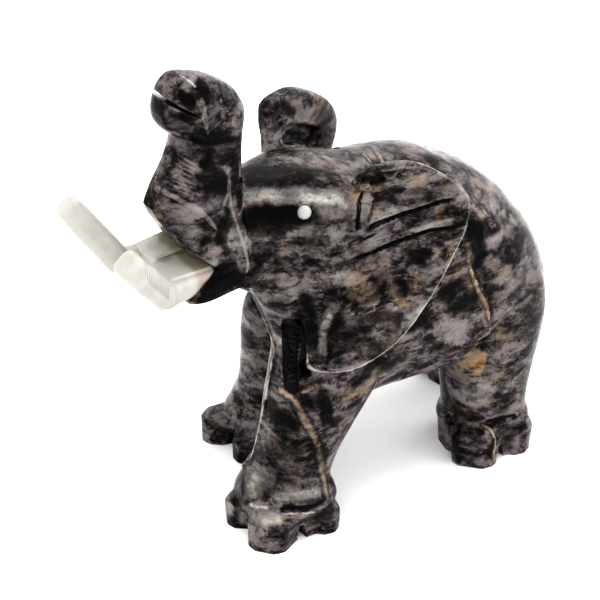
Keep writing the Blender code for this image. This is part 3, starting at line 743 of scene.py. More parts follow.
def carve(p, n):
    """Relief of the carving, as the distance in mm that each point moves along its normal."""
    h = np.zeros(len(p))
    out = n[:, 0]
    for side in (1, -1):
        facing = step(0.05, 0.3, out * side)
        turn = (lambda path: path) if side > 0 else mirrored
        h += facing * groove(p, n, turn(EAR_FOLD_UPPER), 1.1, 1.05)
        h += facing * groove(p, n, turn(EAR_FOLD_LOWER), 1.0, 0.9)
        h -= facing * groove(p, n, turn(EAR_PLEAT), 2.6, 0.75)
        h += facing * groove(p, n, turn(EAR_HINGE), 1.0, 0.75)
        h += facing * groove(p, n, turn(EAR_HINGE_BACK), 0.9, 0.7)
        x, y, z = EAR_HOLE
        h += dimple(p, n, (side * x, y, z), 2.6, 1.7)
        x, y, z = EAR_NOTCH
        h += dimple(p, n, (side * x, y, z), 1.2, 1.1)
    left = step(0.05, 0.3, out)
    d, t = near_path(p, n, RIB_CHANNEL)
    k = step(2.6, 1.7, d) * step(0.0, 0.05, t) * step(0.0, 0.22, 1.0 - t)
    h -= k * (1.3 + 0.28 * np.sin(t * 2 * math.pi * RIBS))
    h += groove(p, n, EAR_SLOT, 1.9, 2.4, 0.05)
    h -= groove(p, n, TRUNK_CREASE, 1.1, 0.45, 0.05)
    h -= groove(p, n, FACE_RIDGE, 1.2, 0.40, 0.05)
    for turn in (lambda path: path, mirrored):
        h -= groove(p, n, turn(TRUNK_EDGE), 1.0, 0.30, 0.1)
        h -= groove(p, n, turn(TIP_RIDGE), 1.2, 0.35, 0.1)
        h -= groove(p, n, turn(LEG_EDGE), 1.3, 0.70, 0.04)
        h -= groove(p, n, turn(CHEST_EDGE), 1.2, 0.40, 0.04)
        h += groove(p, n, turn(TOE_LINE_FRONT), 0.9, 0.45)
        h += groove(p, n, turn(TOE_LINE_REAR), 0.9, 0.45)
        h -= groove(p, n, turn(INSTEP_LINE), 0.9, 0.35)
        h -= groove(p, n, turn(HIND_TOE_STEP), 1.1, 0.40)
    for side in (1, -1):
        facing = step(0.1, 0.4, out * side)
        turn = (lambda path: path) if side > 0 else mirrored
        for path, inward, lift, drop in ((PANEL_EDGE, (0.0, -1.0, 0.1), 0.45, 0.55),
                                         (PANEL_FOOT, (0.0, -0.3, 0.95), 1.1, 1.9)):
            path = np.array(turn(path))
            d, t = near_path(p, n, path)
            here = np.zeros_like(p)
            for k in range(3):
                here[:, k] = np.interp(t, np.linspace(0, 1, len(path)), path[:, k])
            s = np.einsum('ij,j->i', p - here, np.array(inward))
            k = facing * (step(0.0, 0.25, t) if path[0, 2] > 60.0 else step(0.0, 0.12, 1.0 - t))
            h += k * np.where(s > 0, lift * step(-0.6, 0.4, d) * step(8.0, 0.5, d),
                              -drop * step(0.0, 0.4, d) * step(9.0, 1.0, d))
    # far ear, seen from within: a rounded pad with a cut ledge below it
    inner = step(0.3, 0.6, out) * (p[:, 0] < -14.0)
    d = np.linalg.norm((p - np.array(FAR_PAD)) * (0.6, 1.0, 1.0), axis=1)
    h += inner * 0.9 * step(8.6, 6.6, d)
    d, t = near_path(p, n, FAR_RECESS)
    h -= inner * 1.6 * step(3.4, 2.2, d)
    return h


def hand_work(p, n):
    """Slight unevenness of a surface ground and polished by hand."""
    flat = noise(p, 9.0, 11) - 0.5
    small = noise(p, 3.6, 23) - 0.5
    return 0.40 * flat + 0.13 * small


STROKE_LENGTH = 7.6         # across the facet, along the slope of the trunk
STROKE_SLOPE = -2.6         # how far a stroke falls from the front to the side
STROKE_CROWN = 0.6          # how far the rounded corner of the trunk stands out of its chord
STROKES = (     # height of the first stroke, how far the front lies forward there, spacing, how many
    (112.8, 38.4, 1.15, 5),
    (107.6, 41.0, 0.95, 4),
)


def stroke_paths():
    """Each stroke bends round the front corner of the trunk, and the rows follow its lean."""
    out = []
    for top, front, gap, rows in STROKES:
        for k in range(rows):
            path = []
            for m in range(5):
                t = m / 4.0
                crown = STROKE_CROWN * math.sin(math.pi * t)
                x = 1.6 + (STROKE_LENGTH - 1.6) * t + 0.5 * crown
                y = -(front - (front - 35.4) * t ** 1.15) - 0.42 * gap * k * (1.0 - 0.5 * t) - 0.8 * crown
                z = top - gap * k + STROKE_SLOPE * t + 0.3 * crown
                path.append((x, y, z))
            out.append(path)
    return out


def rasp(p, n):
    """Short parallel tool marks left on the raised trunk."""
    h = np.zeros(len(p))
    for path in stroke_paths():
        h += groove(p, n, path, 0.45, 0.26, 0.2)
    return h


# ---------------------------------------------------------------- clouds and veins in the stone
# name, one end, other end, half width in mm, how light (0 black, 1 white), how warm
CLOUDS = (
    # pale stone with painted highlight where the brow rounds over
    ("brow band rear", (18, 2.5, 93.6), (21.5, 3.5, 92.5), 2.0, 0.56, 0.10),
    ("dark line above the band", (1.5, -18, 98), (10, -6.5, 98), 1.2, 0.06, 0.20),
    ("dark spot above the band", (10, -5.5, 98), (11, -2, 97.5), 1.4, 0.08, 0.20),
    ("brown dome", (-2.5, -14.5, 98.5), (3.5, -3, 99), 2.2, 0.26, 0.45),
    ("pink dome", (4, 4, 97.5), (6, 12, 95.5), 2.2, 0.50, 0.25),
    ("grey crest", (-5, 14.5, 95), (-2, 22, 95), 1.7, 0.42, 0.05),
    ("black under the band", (9, -21.5, 93.2), (14, -10.5, 91.6), 2.5, 0.03, 0.00),
    ("black under the eye", (15, -10, 89.5), (16, -5, 91.5), 1.7, 0.06, 0.00),
    ("black cheek", (10, -22.5, 89), (13.5, -13.5, 88.5), 1.7, 0.20, 0.10),
    ("grey behind the eye", (16.5, -3, 91.5), (20, 2, 90.5), 2.2, 0.42, 0.00),
    ("pale cheek", (16, -7.5, 87), (20, -6, 83), 2.8, 0.52, 0.00),
    ("pale jowl", (22.5, -1, 82.5), (24, 7, 84), 1.4, 0.58, 0.05),
    ("pale crown of the ear", (24.5, 9, 95), (26, 12.5, 95.5), 1.9, 0.55, 0.05),
    ("purple jowl", (25, 9, 98.5), (26, 12.5, 95), 1.4, 0.30, 0.10),
    ("black fleck", (23.5, -0.5, 77), (24, 0.5, 75), 1.1, 0.03, 0.00),
    ("ochre hinge", (12.5, 5.5, 95.5), (22, 2.5, 97.5), 1.4, 0.38, 0.90),
    ("tan cloud", (24.5, 0, 73.5), (27, 2, 68.5), 2.8, 0.60, 0.60),
    ("beige crown", (27.5, 15, 102.5), (28.5, 19, 100), 1.7, 0.62, 0.70),
    ("olive crown", (29.5, 21, 100.5), (30.5, 25.5, 98), 1.4, 0.36, 0.60),
    ("purple crown", (27, 15, 97), (30.5, 26, 94.5), 1.9, 0.44, 0.05),
    ("pleat ochre", (29.5, 22, 89), (30.5, 24, 90), 1.1, 0.36, 1.00),
    ("dark blot", (28.5, 16.5, 78), (29, 17.5, 76), 1.9, 0.06, 0.10),
    ("dark blot rear", (30, 22, 79), (31, 23.5, 77.5), 1.7, 0.10, 0.10),
    ("dark blot low", (28.5, 12, 71), (30, 16, 69.5), 1.4, 0.07, 0.20),
    ("ochre streak", (28.5, 15, 74), (30, 15.5, 68.5), 1.1, 0.48, 0.90),
    ("green streak", (29, 19.5, 81), (30, 20, 76), 1.1, 0.55, 0.55),
    ("pale blot", (27, 13.5, 80.5), (27.5, 14, 77), 1.1, 0.60, 0.10),
    ("pale blot rear", (30, 18, 72), (31, 23.5, 73), 1.7, 0.58, 0.10),
    ("grey tan middle", (25, 5, 77.5), (27, 8.5, 72.5), 2.5, 0.50, 0.35),
    ("rim strip", (26, 29.5, 68), (27, 24.5, 61.5), 0.8, 0.66, 0.25),
    ("dark inside the crescent", (26.5, -6.5, 63.5), (28.5, 0, 63), 2.8, 0.16, 0.00),
    ("dark lobe", (28, -9.5, 54.5), (27.5, -8.5, 58.5), 1.1, 0.10, 0.00),
    ("grey lobe", (28, -6.5, 60), (30, -4, 57), 1.7, 0.36, 0.05),
    ("pale lobe edge", (28, -9.5, 52.5), (25.5, 2, 48), 0.8, 0.52, 0.05),
    ("dark before the crescent", (20.5, -12, 70), (24.5, -12, 61), 1.9, 0.16, 0.00),
    ("pink lobe", (31, -0.5, 56), (31.5, 8.5, 57.5), 1.9, 0.46, 0.30),
    ("ochre lobe", (29, 10.5, 68), (30, 12.5, 65.5), 1.7, 0.46, 0.95),
    ("dark brown lobe", (28.5, 3.5, 64), (30.5, 8.5, 62), 1.7, 0.20, 0.30),
    ("lilac chest", (13, -20, 67), (17.5, -18, 66), 2.8, 0.45, 0.00),
    ("pale chest", (12.5, -21.5, 71), (15, -20, 70), 1.1, 0.60, 0.00),
    # painted shade in the slot behind the front edge of the ear
    ("black behind the ear edge", (21.5, -14, 63.5), (22, -14, 50), 1.4, 0.02, 0.00),
    # painted shadow cast by the bottom of the ear
    ("painted shadow under the lobe", (23.5, -12, 47.5), (26, 2, 45), 1.4, 0.02, 0.00),
    ("tan shoulder", (21.5, -15, 46), (24.5, -11, 44), 1.1, 0.50, 0.60),
    ("black elbow", (23.5, -14, 42.5), (25.5, -10.5, 40), 1.9, 0.05, 0.00),
    ("black shin", (10.5, -19.5, 34.5), (17, -18.8, 37.0), 1.5, 0.12, 0.00),
    ("tan belly", (26.5, -5, 42), (25, 7.5, 43), 1.7, 0.48, 0.60),
    ("pink belly", (26, -4, 32), (24, 3.5, 38), 2.2, 0.58, 0.20),
    ("dark belly line", (26, -8.5, 37.5), (26, 2.5, 38.5), 0.8, 0.08, 0.20),
    ("dark leg line", (25.5, -11.5, 29.5), (24, -1.5, 27), 0.8, 0.14, 0.10),
    # painted shadow behind the ear
    ("painted shadow on the flank behind the ear", (22, 40.5, 77.5), (26, 41, 67), 2.8, 0.02, 0.00),
    ("black loin", (20, 47, 78), (22, 49, 73), 2.2, 0.04, 0.00),
    ("dark loin streak", (21.5, 51.5, 73), (16, 60.5, 72), 1.2, 0.10, 0.00),
    ("black loin streak", (24, 51.5, 67), (18.5, 63, 66), 1.2, 0.05, 0.00),
    ("pale loin streak", (24.5, 45.5, 70.5), (19, 58.5, 71), 1.2, 0.60, 0.10),
    ("grey green flank", (25.5, 44.5, 66), (26, 50, 61.5), 2.5, 0.56, 0.20),
    ("green croup", (14.5, 48, 83), (14.5, 55, 78.5), 1.7, 0.60, 0.45),
    ("flank strip", (19.5, 43, 80.5), (21, 48.5, 75.5), 1.1, 0.68, 0.45),
    ("tan flank", (24.5, 36.5, 73), (27, 37, 61), 1.7, 0.46, 0.70),
    ("tan flank low", (27, 38.5, 61.5), (26.5, 43.5, 48), 1.1, 0.58, 0.60),
    ("brown panel", (27, 30.5, 56), (27, 37.5, 57.5), 1.7, 0.18, 0.50),
    ("pale panel", (27, 30, 49.5), (26.5, 36.5, 47), 2.2, 0.55, 0.10),
    ("black panel", (26.5, 22.5, 49), (26, 29, 45), 1.9, 0.04, 0.00),
    ("black panel top", (26.5, 18.5, 56.5), (27, 23, 54.5), 1.9, 0.05, 0.00),
    # painted shadow under the rear edge of the ear
    ("black behind the ear", (27, 28.5, 61.5), (26.5, 32.5, 62.5), 2.2, 0.03, 0.00),
    ("ledge edge", (22.5, 32.5, 37), (25.5, 44.5, 44), 0.8, 0.60, 0.40),
    ("peach thigh", (23.2, 43.0, 35.0), (21.5, 42.2, 29.5), 3.0, 0.64, 1.10),
    ("ochre thigh", (23.2, 43.4, 34.4), (21.8, 42.2, 31.5), 1.6, 0.50, 1.50),
    ("pale thigh", (24, 46.5, 27), (22.5, 45, 23), 1.4, 0.60, 0.10),
    ("dark stifle", (13, 40.5, 26), (13.5, 42, 16.5), 1.4, 0.10, 0.00),
    ("olive hock", (16.5, 42.5, 14), (22, 45, 15.5), 1.4, 0.22, 0.60),
    ("black hock", (18.5, 40.5, 8), (24, 45, 9.5), 1.6, 0.12, 0.20),
    ("tip black", (5.5, -37, 130.4), (6.5, -35.7, 128.8), 1.7, 0.03, 0.00),
    ("tip dark", (4.6, -34.2, 131.5), (5.9, -31.2, 129.8), 1.3, 0.08, 0.10),
    # painted highlight over the top of the trunk tip
    ("tip pale", (0.8, -37.2, 133.2), (4.8, -35.5, 131.8), 1.3, 0.74, 0.05),
    ("tip grey", (3.5, -40.7, 129.5), (0.0, -39.9, 131.4), 2.0, 0.50, 0.10),
    ("tip pale rear", (7.7, -30.5, 125.5), (8.0, -29.5, 121.5), 1.9, 0.46, 0.00),
    # painted shade in the cleft under the upper lip
    ("painted shade in the cleft under the upper lip", (-0.2, -42.3, 126.6), (3.2, -41.8, 126.7), 1.4, 0.02, 0.00),
    ("lip pale", (5.4, -41.1, 124.4), (7.1, -36.8, 120.1), 1.9, 0.52, 0.00),
    ("throat dark", (5.8, -36.7, 117.3), (8.0, -33.0, 115.5), 1.3, 0.05, 0.00),
    ("trunk black", (8.1, -34.3, 110.6), (8.8, -30.0, 104.3), 2.9, 0.01, 0.00),
    ("trunk pale", (3.5, -43.4, 100.2), (8.5, -37.5, 95.5), 2.2, 0.56, 0.00),
    ("trunk grey", (8.5, -33.5, 103.0), (8.9, -31.0, 97.5), 2.2, 0.46, 0.00),
    ("trunk shadow", (8.4, -25.0, 113), (8.5, -24.8, 97), 1.2, 0.08, 0.00),
    ("trunk band", (8.3, -30.0, 113.5), (7.9, -25.0, 112.5), 1.8, 0.40, 0.00),
    ("stroke field", (2.0, -38.5, 111.5), (7.9, -35.5, 107.5), 1.8, 0.20, 0.00),
    ("stroke light", (0.5, -38.6, 113.4), (7.0, -35.6, 110.4), 1.0, 0.50, 0.00),
    ("stroke light low", (3.4, -41.1, 106.7), (8.0, -36.4, 103.4), 0.9, 0.50, 0.00),
    ("leg black left", (17.0, -19.4, 36.0), (21.0, -18.2, 33.0), 2.8, 0.13, 0.25),
    ("leg black right", (24.6, -10.5, 38.5), (25.6, -9.0, 33.5), 1.6, 0.12, 0.15),
    ("leg dark knee", (16.5, -21.2, 26.0), (23.5, -17.5, 26.0), 2.4, 0.30, 0.05),
    ("leg lilac", (21.8, -19.5, 22.0), (24.9, -15.2, 19.3), 2.4, 0.44, 0.05),
    ("leg grey shank", (14.5, -24.0, 18.5), (19.0, -23.5, 17.0), 2.4, 0.50, 0.00),
    ("black under the vein top", (22.4, -13.0, 47.3), (24.8, -9.5, 43.5), 1.9, 0.05, 0.10),
    ("tan vein branch", (21.0, -16.4, 43.2), (24.4, -10.8, 46.6), 1.0, 0.44, 0.85),
    ("belly dark", (23.6, 14.0, 36.5), (22.5, 28.0, 36.0), 2.2, 0.07, 0.20),
    ("hind instep grey", (25.0, 50.0, 15.5), (24.0, 58.0, 16.0), 1.8, 0.42, 0.10),
    ("hind toe olive", (24.5, 44.0, 9.0), (27.6, 45.0, 4.5), 2.2, 0.16, 0.50),
    ("hind toe brown", (25.5, 52.0, 8.0), (25.5, 57.0, 6.0), 2.2, 0.34, 0.20),
    ("leg olive grey", (19.5, -19.8, 30.0), (23.0, -17.5, 31.0), 1.6, 0.42, 0.20),
    ("trunk facet grey", (6.0, -36.4, 116.0), (2.0, -39.5, 110.0), 1.3, 0.40, 0.00),
    ("trunk side grey", (8.5, -28.0, 98.0), (8.8, -27.5, 92.5), 1.6, 0.50, 0.00),
    ("trunk side dark", (9.3, -30.5, 95.0), (10.0, -29.5, 91.5), 1.2, 0.08, 0.00),
    ("lower lip", (13.8, -38.5, 77.8), (14.2, -30.0, 79.8), 2.6, 0.05, 0.00),
    ("lip pink", (13.4, -37.5, 75.2), (13.7, -34.0, 75.0), 0.9, 0.42, 0.35),
    ("trunk root grey", (5.7, -41.7, 95.7), (9.1, -39.0, 92.5), 2.3, 0.50, 0.00),
    ("trunk root black", (10.5, -32.5, 92.0), (12.8, -29.5, 86.0), 1.5, 0.06, 0.00),
    ("trunk foot pale", (8.0, -38.5, 89.6), (11.5, -33.5, 86.6), 1.6, 0.58, 0.00),
    ("instep grey", (19.5, -25.4, 16.3), (25.0, -18.0, 16.5), 1.8, 0.46, 0.05),
    # painted shade in the carved toe line of the near front foot
    ("toe dark line", (24.5, -24.6, 12.1), (27.9, -17.0, 12.0), 1.1, 0.05, 0.00),
    ("toe dark line end", (27.9, -17.0, 12.0), (28.0, -11.0, 10.8), 1.1, 0.06, 0.00),
    ("toe ring dark", (12.2, -27.8, 9.8), (13.4, -28.2, 6.8), 1.5, 0.14, 0.15),
    ("centre toe grey", (17.2, -29.3, 7.5), (23.0, -29.5, 4.0), 3.0, 0.56, 0.05),
    ("centre toe light", (22.4, -27.4, 9.4), (25.6, -26.4, 8.6), 1.5, 0.70, 0.20),
    ("centre toe beige", (26.5, -23.5, 9.0), (28.4, -19.5, 9.6), 1.2, 0.62, 0.50),
    ("toe face brown", (26.5, -27.5, 4.0), (28.5, -24.5, 4.0), 1.6, 0.22, 0.30),
    ("right toe purple", (28.7, -15.5, 6.0), (28.7, -10.5, 5.0), 2.4, 0.28, 0.15),
    ("hind toe vein", (23.7, 45.7, 12.1), (27.2, 47.3, 9.6), 0.7, 0.60, 0.50),
    ("hind toe vein low", (27.2, 47.3, 9.6), (28.0, 46.7, 1.5), 0.7, 0.58, 0.45),
    # painted shade in the carved toe line of the near hind foot
    ("black hind line", (23.7, 46.6, 12.9), (25.6, 52.0, 13.2), 0.9, 0.04, 0.00),
    ("black hind line end", (25.6, 52.0, 13.2), (25.5, 58.5, 12.4), 0.7, 0.08, 0.00),
    ("far ear pale", (-23, 11.5, 104.5), (-23.5, 18.5, 97), 3.1, 0.60, 0.30),
    ("far ear black", (-21, 6, 104.5), (-21.5, 10.5, 102.5), 1.9, 0.05, 0.00),
    ("far ear ledge", (-19, 6, 99.5), (-23.5, 19, 93.5), 0.7, 0.62, 0.20),
    # painted shade in the carved recess under the far ear's pad
    ("painted shade in the far ear recess", (-20, 10.5, 95), (-23.5, 19.5, 90), 1.4, 0.03, 0.00),
    ("far ear dark rim", (-22, 2.5, 103.5), (-21, 2, 97), 1.4, 0.06, 0.00),
    ("far ear brown", (-26.5, 25.5, 96.5), (-26, 26.5, 87), 1.4, 0.34, 0.15),
    ("far ear base", (-19.5, 1, 93.5), (-18, 7, 93.5), 1.4, 0.20, 0.10),
)

# bright thin lines of painted highlight, faint thin lines (partly painted ridge highlights) and dark thin lines
# of painted shade in carved cuts: path and half width in mm
# painted highlights: thin light lines along polished edges, over the trunk tip and at small glints
PAINTED_HIGHLIGHT_LINES = (
    (LEG_EDGE, 0.40), (CHEST_EDGE[1:], 0.34), (INSTEP_LINE, 0.24),
    ([(0.8, -37.2, 133.2), (3.4, -35.7, 132.2), (5.8, -34.1, 130.3)], 0.55),
    ([(25.1, -24.3, 10.4), (27.9, -18.8, 10.2), (28.6, -13.5, 8.9)], 0.40),
    ([(18.5, 3.9, 94.0), (19.5, 4.1, 92.0)], 0.3),
    ([(24.2, 11.0, 101.6), (26.6, 14.0, 101.6)], 0.35),
)
# faint pale lines: tool strokes and fine lines in the stone, and painted highlights along ridges and edges of the
# face and trunk
FAINT_LINES_AND_RIDGE_HIGHLIGHTS = (
    ([(-4.5, -6.5, 99.0), (4.5, -6.0, 99.0), (11.5, -6.5, 97.0)], 0.35),
    ([(-6.0, 26.0, 94.0), (4.5, 24.5, 94.5)], 1.3),
    (FACE_RIDGE, 0.48), (TRUNK_CREASE, 0.70), (TRUNK_EDGE, 0.60), (TIP_RIDGE, 0.55),
    (TIP_CURVE, 0.52), (PANEL_FOOT, 0.50),
    *((path, 0.33) for path in stroke_paths()),
    ([(26.9, -3.7, 65.4), (28.4, 4.4, 65.3), (30.3, 13.0, 64.9)], 0.28),
    ([(23.7, -5.0, 70.9), (26.0, 4.4, 72.6), (27.4, 11.3, 74.6)], 0.28),
    ([(22.9, -27.3, 9.6), (26.9, -28.7, 6.2), (27.6, -28.1, 0.5)], 0.30),
    ([(25.5, -5.5, 66.0), (28.6, 6.0, 65.5), (31.0, 14.0, 63.5)], 0.32),
    ([(24.5, -6.5, 67.5), (28.0, 4.0, 67.5), (30.5, 14.5, 65.5)], 0.26),
    ([(23.0, -1.5, 76.0), (28.0, 12.5, 73.5), (31.0, 23.0, 74.0)], 0.28),
    ([(6.5, -36.0, 131.0), (7.6, -33.5, 122.5), (8.0, -32.5, 117.0)], 0.40),
    ([(8.2, -28.0, 124.0), (8.4, -28.0, 116.0)], 0.36),
    ([(24.3, 5.5, 81.5), (26.3, 12.5, 83.3), (29.4, 21.2, 85.6), (31.6, 28.0, 85.6)], 0.32),
    ([(23.4, 7.5, 88.6), (26.7, 14.9, 91.4), (30.2, 23.5, 93.4)], 0.30),
    ([(20.0, -12.5, 71.5), (24.0, -3.5, 71.5)], 0.28),
    (PANEL_EDGE, 0.36), (HIND_TOE_STEP, 0.30),
    ([(14.0, -18.0, 69.5), (13.2, -17.2, 62.0), (14.0, -16.6, 55.5)], 0.36),
)
# painted shade: dark lines along the carved ear folds, hinge, slot, toe lines and far ear recess
PAINTED_SHADE_LINES = (
    (EAR_FOLD_UPPER, 0.36), (EAR_FOLD_LOWER, 0.34), (EAR_HINGE, 0.30),
    (EAR_SLOT, 2.1), (TOE_LINE_FRONT, 0.5), (TOE_LINE_REAR, 0.5), (FAR_RECESS, 0.8),
    ([(23.0, 2.2, 84.2), (24.6, 8.4, 86.2)], 0.4),
)


VEIN_LINES = (
    (LEG_VEIN, 0.80), (HIND_TOE_STEP, 0.40),
    ([(-2.6, 24.1, 94.5), (3.4, 23.4, 94.5), (10.0, 21.5, 93.8)], 0.5),
    ([(-1.0, 20.6, 95.2), (6.0, 19.6, 95.0)], 0.3),
    ([(16.8, 43.7, 83.0), (19.8, 46.7, 78.3), (22.4, 50.1, 72.2)], 0.45),

    ([(21.1, -16.4, 42.8), (23.0, -13.9, 44.6), (24.4, -10.8, 46.4)], 0.7),
    ([(25.8, 36.5, 67.9), (26.8, 39.1, 61.4), (27.1, 42.6, 54.2), (26.2, 44.5, 46.5)], 0.55),
)


PALE_LINES = (
    ([(24.6, -4.1, 69.9), (24.5, -7.2, 67.3), (24.9, -9.6, 63.4), (25.9, -10.6, 59.1),
      (27.2, -10.5, 54.5)], 1.15),
    # brow band: pale stone, partly a painted highlight along the rounded edge between top and side of the head
    ([(3.0, -23.0, 97.0), (8.5, -15.0, 96.6), (12.0, -8.0, 96.0), (16.0, 1.0, 94.5),
      (20.0, 3.5, 92.6)], 1.9),
    ([(27.0, 14.5, 85.5), (31.5, 27.5, 87.0)], 1.2),
    ([(22.5, 5.5, 89.0), (26.0, 13.5, 91.5)], 1.8),
    ([(13.0, -25.3, 20.0), (15.5, -26.4, 16.0), (19.0, -27.0, 12.2)], 3.0),
    ([(21.0, -28.0, 9.2), (24.0, -27.6, 9.0), (27.0, -24.0, 9.3)], 1.3),
    ([(20.5, -24.5, 14.3), (25.5, -18.0, 14.2), (26.6, -11.0, 13.9)], 1.2),
    ([(9.6, -30.2, 3.0), (10.4, -30.0, 7.4)], 1.5),
    ([(15.0, -29.5, 6.5), (16.0, -30.5, 1.5)], 1.0),
)


def near_segment(p, a, b):
    a, b = np.array(a, float), np.array(b, float)
    ab = b - a
    t = np.clip(((p - a) @ ab) / max(ab @ ab, 1e-6), 0.0, 1.0)
    return np.linalg.norm(p - (a + t[:, None] * ab), axis=1)


def outline_distance(p, pts):
    """Distance, in side view, from a stretch of outline given as (Y, Z)."""
    best = np.full(len(p), 1e9)
    q = p[:, 1:3]
    for a, b in zip(pts, pts[1:]):
        a, b = np.array(a, float), np.array(b, float)
        ab = b - a
        t = np.clip(((q - a) @ ab) / (ab @ ab), 0.0, 1.0)
        best = np.minimum(best, np.linalg.norm(q - (a + t[:, None] * ab), axis=1))
    return best


def line_field(p, n, table):
    """Distance from the nearest line of a table, in half widths."""
    best = np.full(len(p), 4.0)
    for path, half in table:
        d, t = near_path(p, n, path)
        taper = step(-0.02, 0.15, t) * step(-0.02, 0.15, 1.0 - t)
        best = np.minimum(best, d / half + 1.2 * (1.0 - taper))
    return best


def write_layer(mesh, name, *values):
    rows = np.stack([np.asarray(v, float) for v in values] + [np.ones(len(values[0]))], axis=1)
    layer = mesh.attributes.new(name, 'FLOAT_COLOR', 'POINT')
    layer.data.foreach_set("color", rows.astype(np.float32).ravel())


def paint(mesh):
    """Writes how the stone runs through each point, where its convex edges, concave spots and lines are, and the
    masks for painted highlights, painted shade and painted sheen.
    """
    p = coords(mesh) - np.array(OFFSET)
    n, e = normals(mesh), edges(mesh)
    q = p.copy()
    for scale, amount, seed in ((7.0, 4.2, 31), (3.0, 2.6, 47), (1.3, 1.2, 61)):
        for k in range(3):
            q[:, k] += amount * (noise(p, scale, seed + k) - 0.5)
    light, warm, weight = np.full(len(p), 0.4), np.zeros(len(p)), np.zeros(len(p))
    for name, a, b, half, tone, tint in CLOUDS:
        k = step(1.6 * half + 0.3, 0.62 * half, near_segment(q, a, b))
        light = light * (1 - k) + tone * k
        warm = warm * (1 - k) + tint * k
        weight = np.maximum(weight, k)
    write_layer(mesh, "clouds", light, warm, weight)

    soft = p
    for k in range(4):
        soft = neighbour_mean(e, soft)
    bulge = np.einsum('ij,ij->i', p - soft, n)
    bulge = 0.5 * bulge + 0.5 * neighbour_mean(e, bulge)
    # painted sheen mask: the hindquarters, and half as much over the top of the back
    painted_haze = step(38.0, 74.0, p[:, 1]) * step(20.0, 50.0, p[:, 2])
    painted_haze = np.maximum(painted_haze, 0.5 * step(84.0, 96.0, p[:, 2]) * step(8.0, 30.0, p[:, 1]) * step(14.0, 0.0, p[:, 0]))
    # convex edges for painted highlights, concave spots for painted shade, and the painted sheen mask
    write_layer(mesh, "shape", step(0.04, 0.36, bulge), step(-0.03, -0.34, bulge), painted_haze)

    bright = line_field(p, n, PAINTED_HIGHLIGHT_LINES)
    faint = line_field(p, n, FAINT_LINES_AND_RIDGE_HIGHLIGHTS)
    dark = line_field(p, n, PAINTED_SHADE_LINES)
    # painted highlights along each ear's rim: a bright line round its lower rear edge, bottom and front, a
    # fainter one over its top
    for side in (1, -1):
        rim = ear_outline(side)
        outer = (n[:, 0] * side > 0.22) & (p[:, 0] * side > np.where(p[:, 2] < 76.0, 23.0, 17.0))
        low = np.abs(outline_distance(p, rim[9:-5]) - 0.42) / 0.36
        high = np.abs(outline_distance(p, rim[2:10]) - 0.45) / 0.42
        bright = np.where(outer, np.minimum(bright, low), bright)
        faint = np.where(outer, np.minimum(faint, high), faint)
    write_layer(mesh, "lines", bright, faint, dark)

    wave = p.copy()
    for k in range(3):
        wave[:, k] += 1.3 * (noise(p, 4.0, 71 + k) - 0.5)
    vein = line_field(wave, n, VEIN_LINES)
    pale = line_field(wave, n, PALE_LINES)
    write_layer(mesh, "veins", vein, step(0.75, 1.5, warm), pale)

    d, t = near_path(p, n, RIB_CHANNEL)
    write_layer(mesh, "ribs", np.minimum(d, 6.0), t, step(0.05, 0.3, n[:, 0]))


# ---------------------------------------------------------------- body
def build_body():
    col = bpy.context.scene.collection
    masses = [torso(col), head(col), jaw(col), trunk(col), tail(col),
              ear(1, col), ear(-1, col), ear_root(1, col), ear_root(-1, col),
              front_leg("leg", LEG_LEFT_FRONT, (14.5, -0.5), col, brisket=True),
              front_leg("leg", LEG_RIGHT_FRONT, (-14.5, 7.0), col, 0.88),
              rear_leg("leg", LEG_LEFT_REAR, (13.6, 54.5), col),
              rear_leg("leg", LEG_RIGHT_REAR, (-13.6, 60.0), col, 0.90)]
    for sole, spread, height, toes in FEET:
        masses.append(foot(sole, spread, col))
        for angle, reach, width in toes:
            masses.append(toe(sole, angle, reach, width, height, col))
    masses.append(trunk_tip(col))
    body = join(masses, "elephant_body", col)
    rem = body.modifiers.new("merge", 'REMESH')
    rem.mode = 'VOXEL'
    rem.voxel_size = VOXEL * MM
    smo = body.modifiers.new("polish", 'SMOOTH')
    smo.factor = 0.5
    smo.iterations = 3 if VOXEL < 0.7 else 1
    apply_modifiers(body)

    p, n, e = coords(body.data), normals(body.data), edges(body.data)
    h = carve(p, n) + hand_work(p, n) + rasp(p, n)
    put_coords(body.data, p + n * h[:, None])

    body.modifiers.new("tris", 'TRIANGULATE')
    apply_modifiers(body)
    now = len(body.data.polygons)
    print("TRIS before reduction", now)
    if now > TARGET_TRIANGLES:
        dec = body.modifiers.new("facets", 'DECIMATE')
        dec.ratio = TARGET_TRIANGLES / now
        apply_modifiers(body)

    x, y, z = EYE_CENTRE
    low_cut = [tusk_socket(-1, col), box("ground", (-80, -120, -40), (80, 140, 0), col)]
    eyes = [ball("socket", (side * x, y, z), BEAD + 2 * GAP, col, 16, 28) for side in (1, -1)]
    gaps = [toe_gap(sole, angle, spread, col) for sole, spread, angle in TOE_GAPS]
    for group in ([tusk_socket(1, col), lip_cleft(col)], gaps, low_cut + eyes):
        cutter = join(group, "cutter", col)
        boolean(body, cutter, 'DIFFERENCE')
        bpy.data.objects.remove(cutter, do_unlink=True)
        print("TRIS after a cut", len(body.data.polygons))
    for left in [o for o in col.objects if o.name.startswith("plate")]:
        bpy.data.objects.remove(left, do_unlink=True)

    p = coords(body.data) + np.array(OFFSET)
    low = np.array(CAD_BOX[0]) / MM
    high = np.array(CAD_BOX[1]) / MM
    put_coords(body.data, np.clip(p, low, high))
    paint(body.data)
    body.data.shade_smooth()
    body.data.set_sharp_from_angle(angle=math.radians(50))
    return body


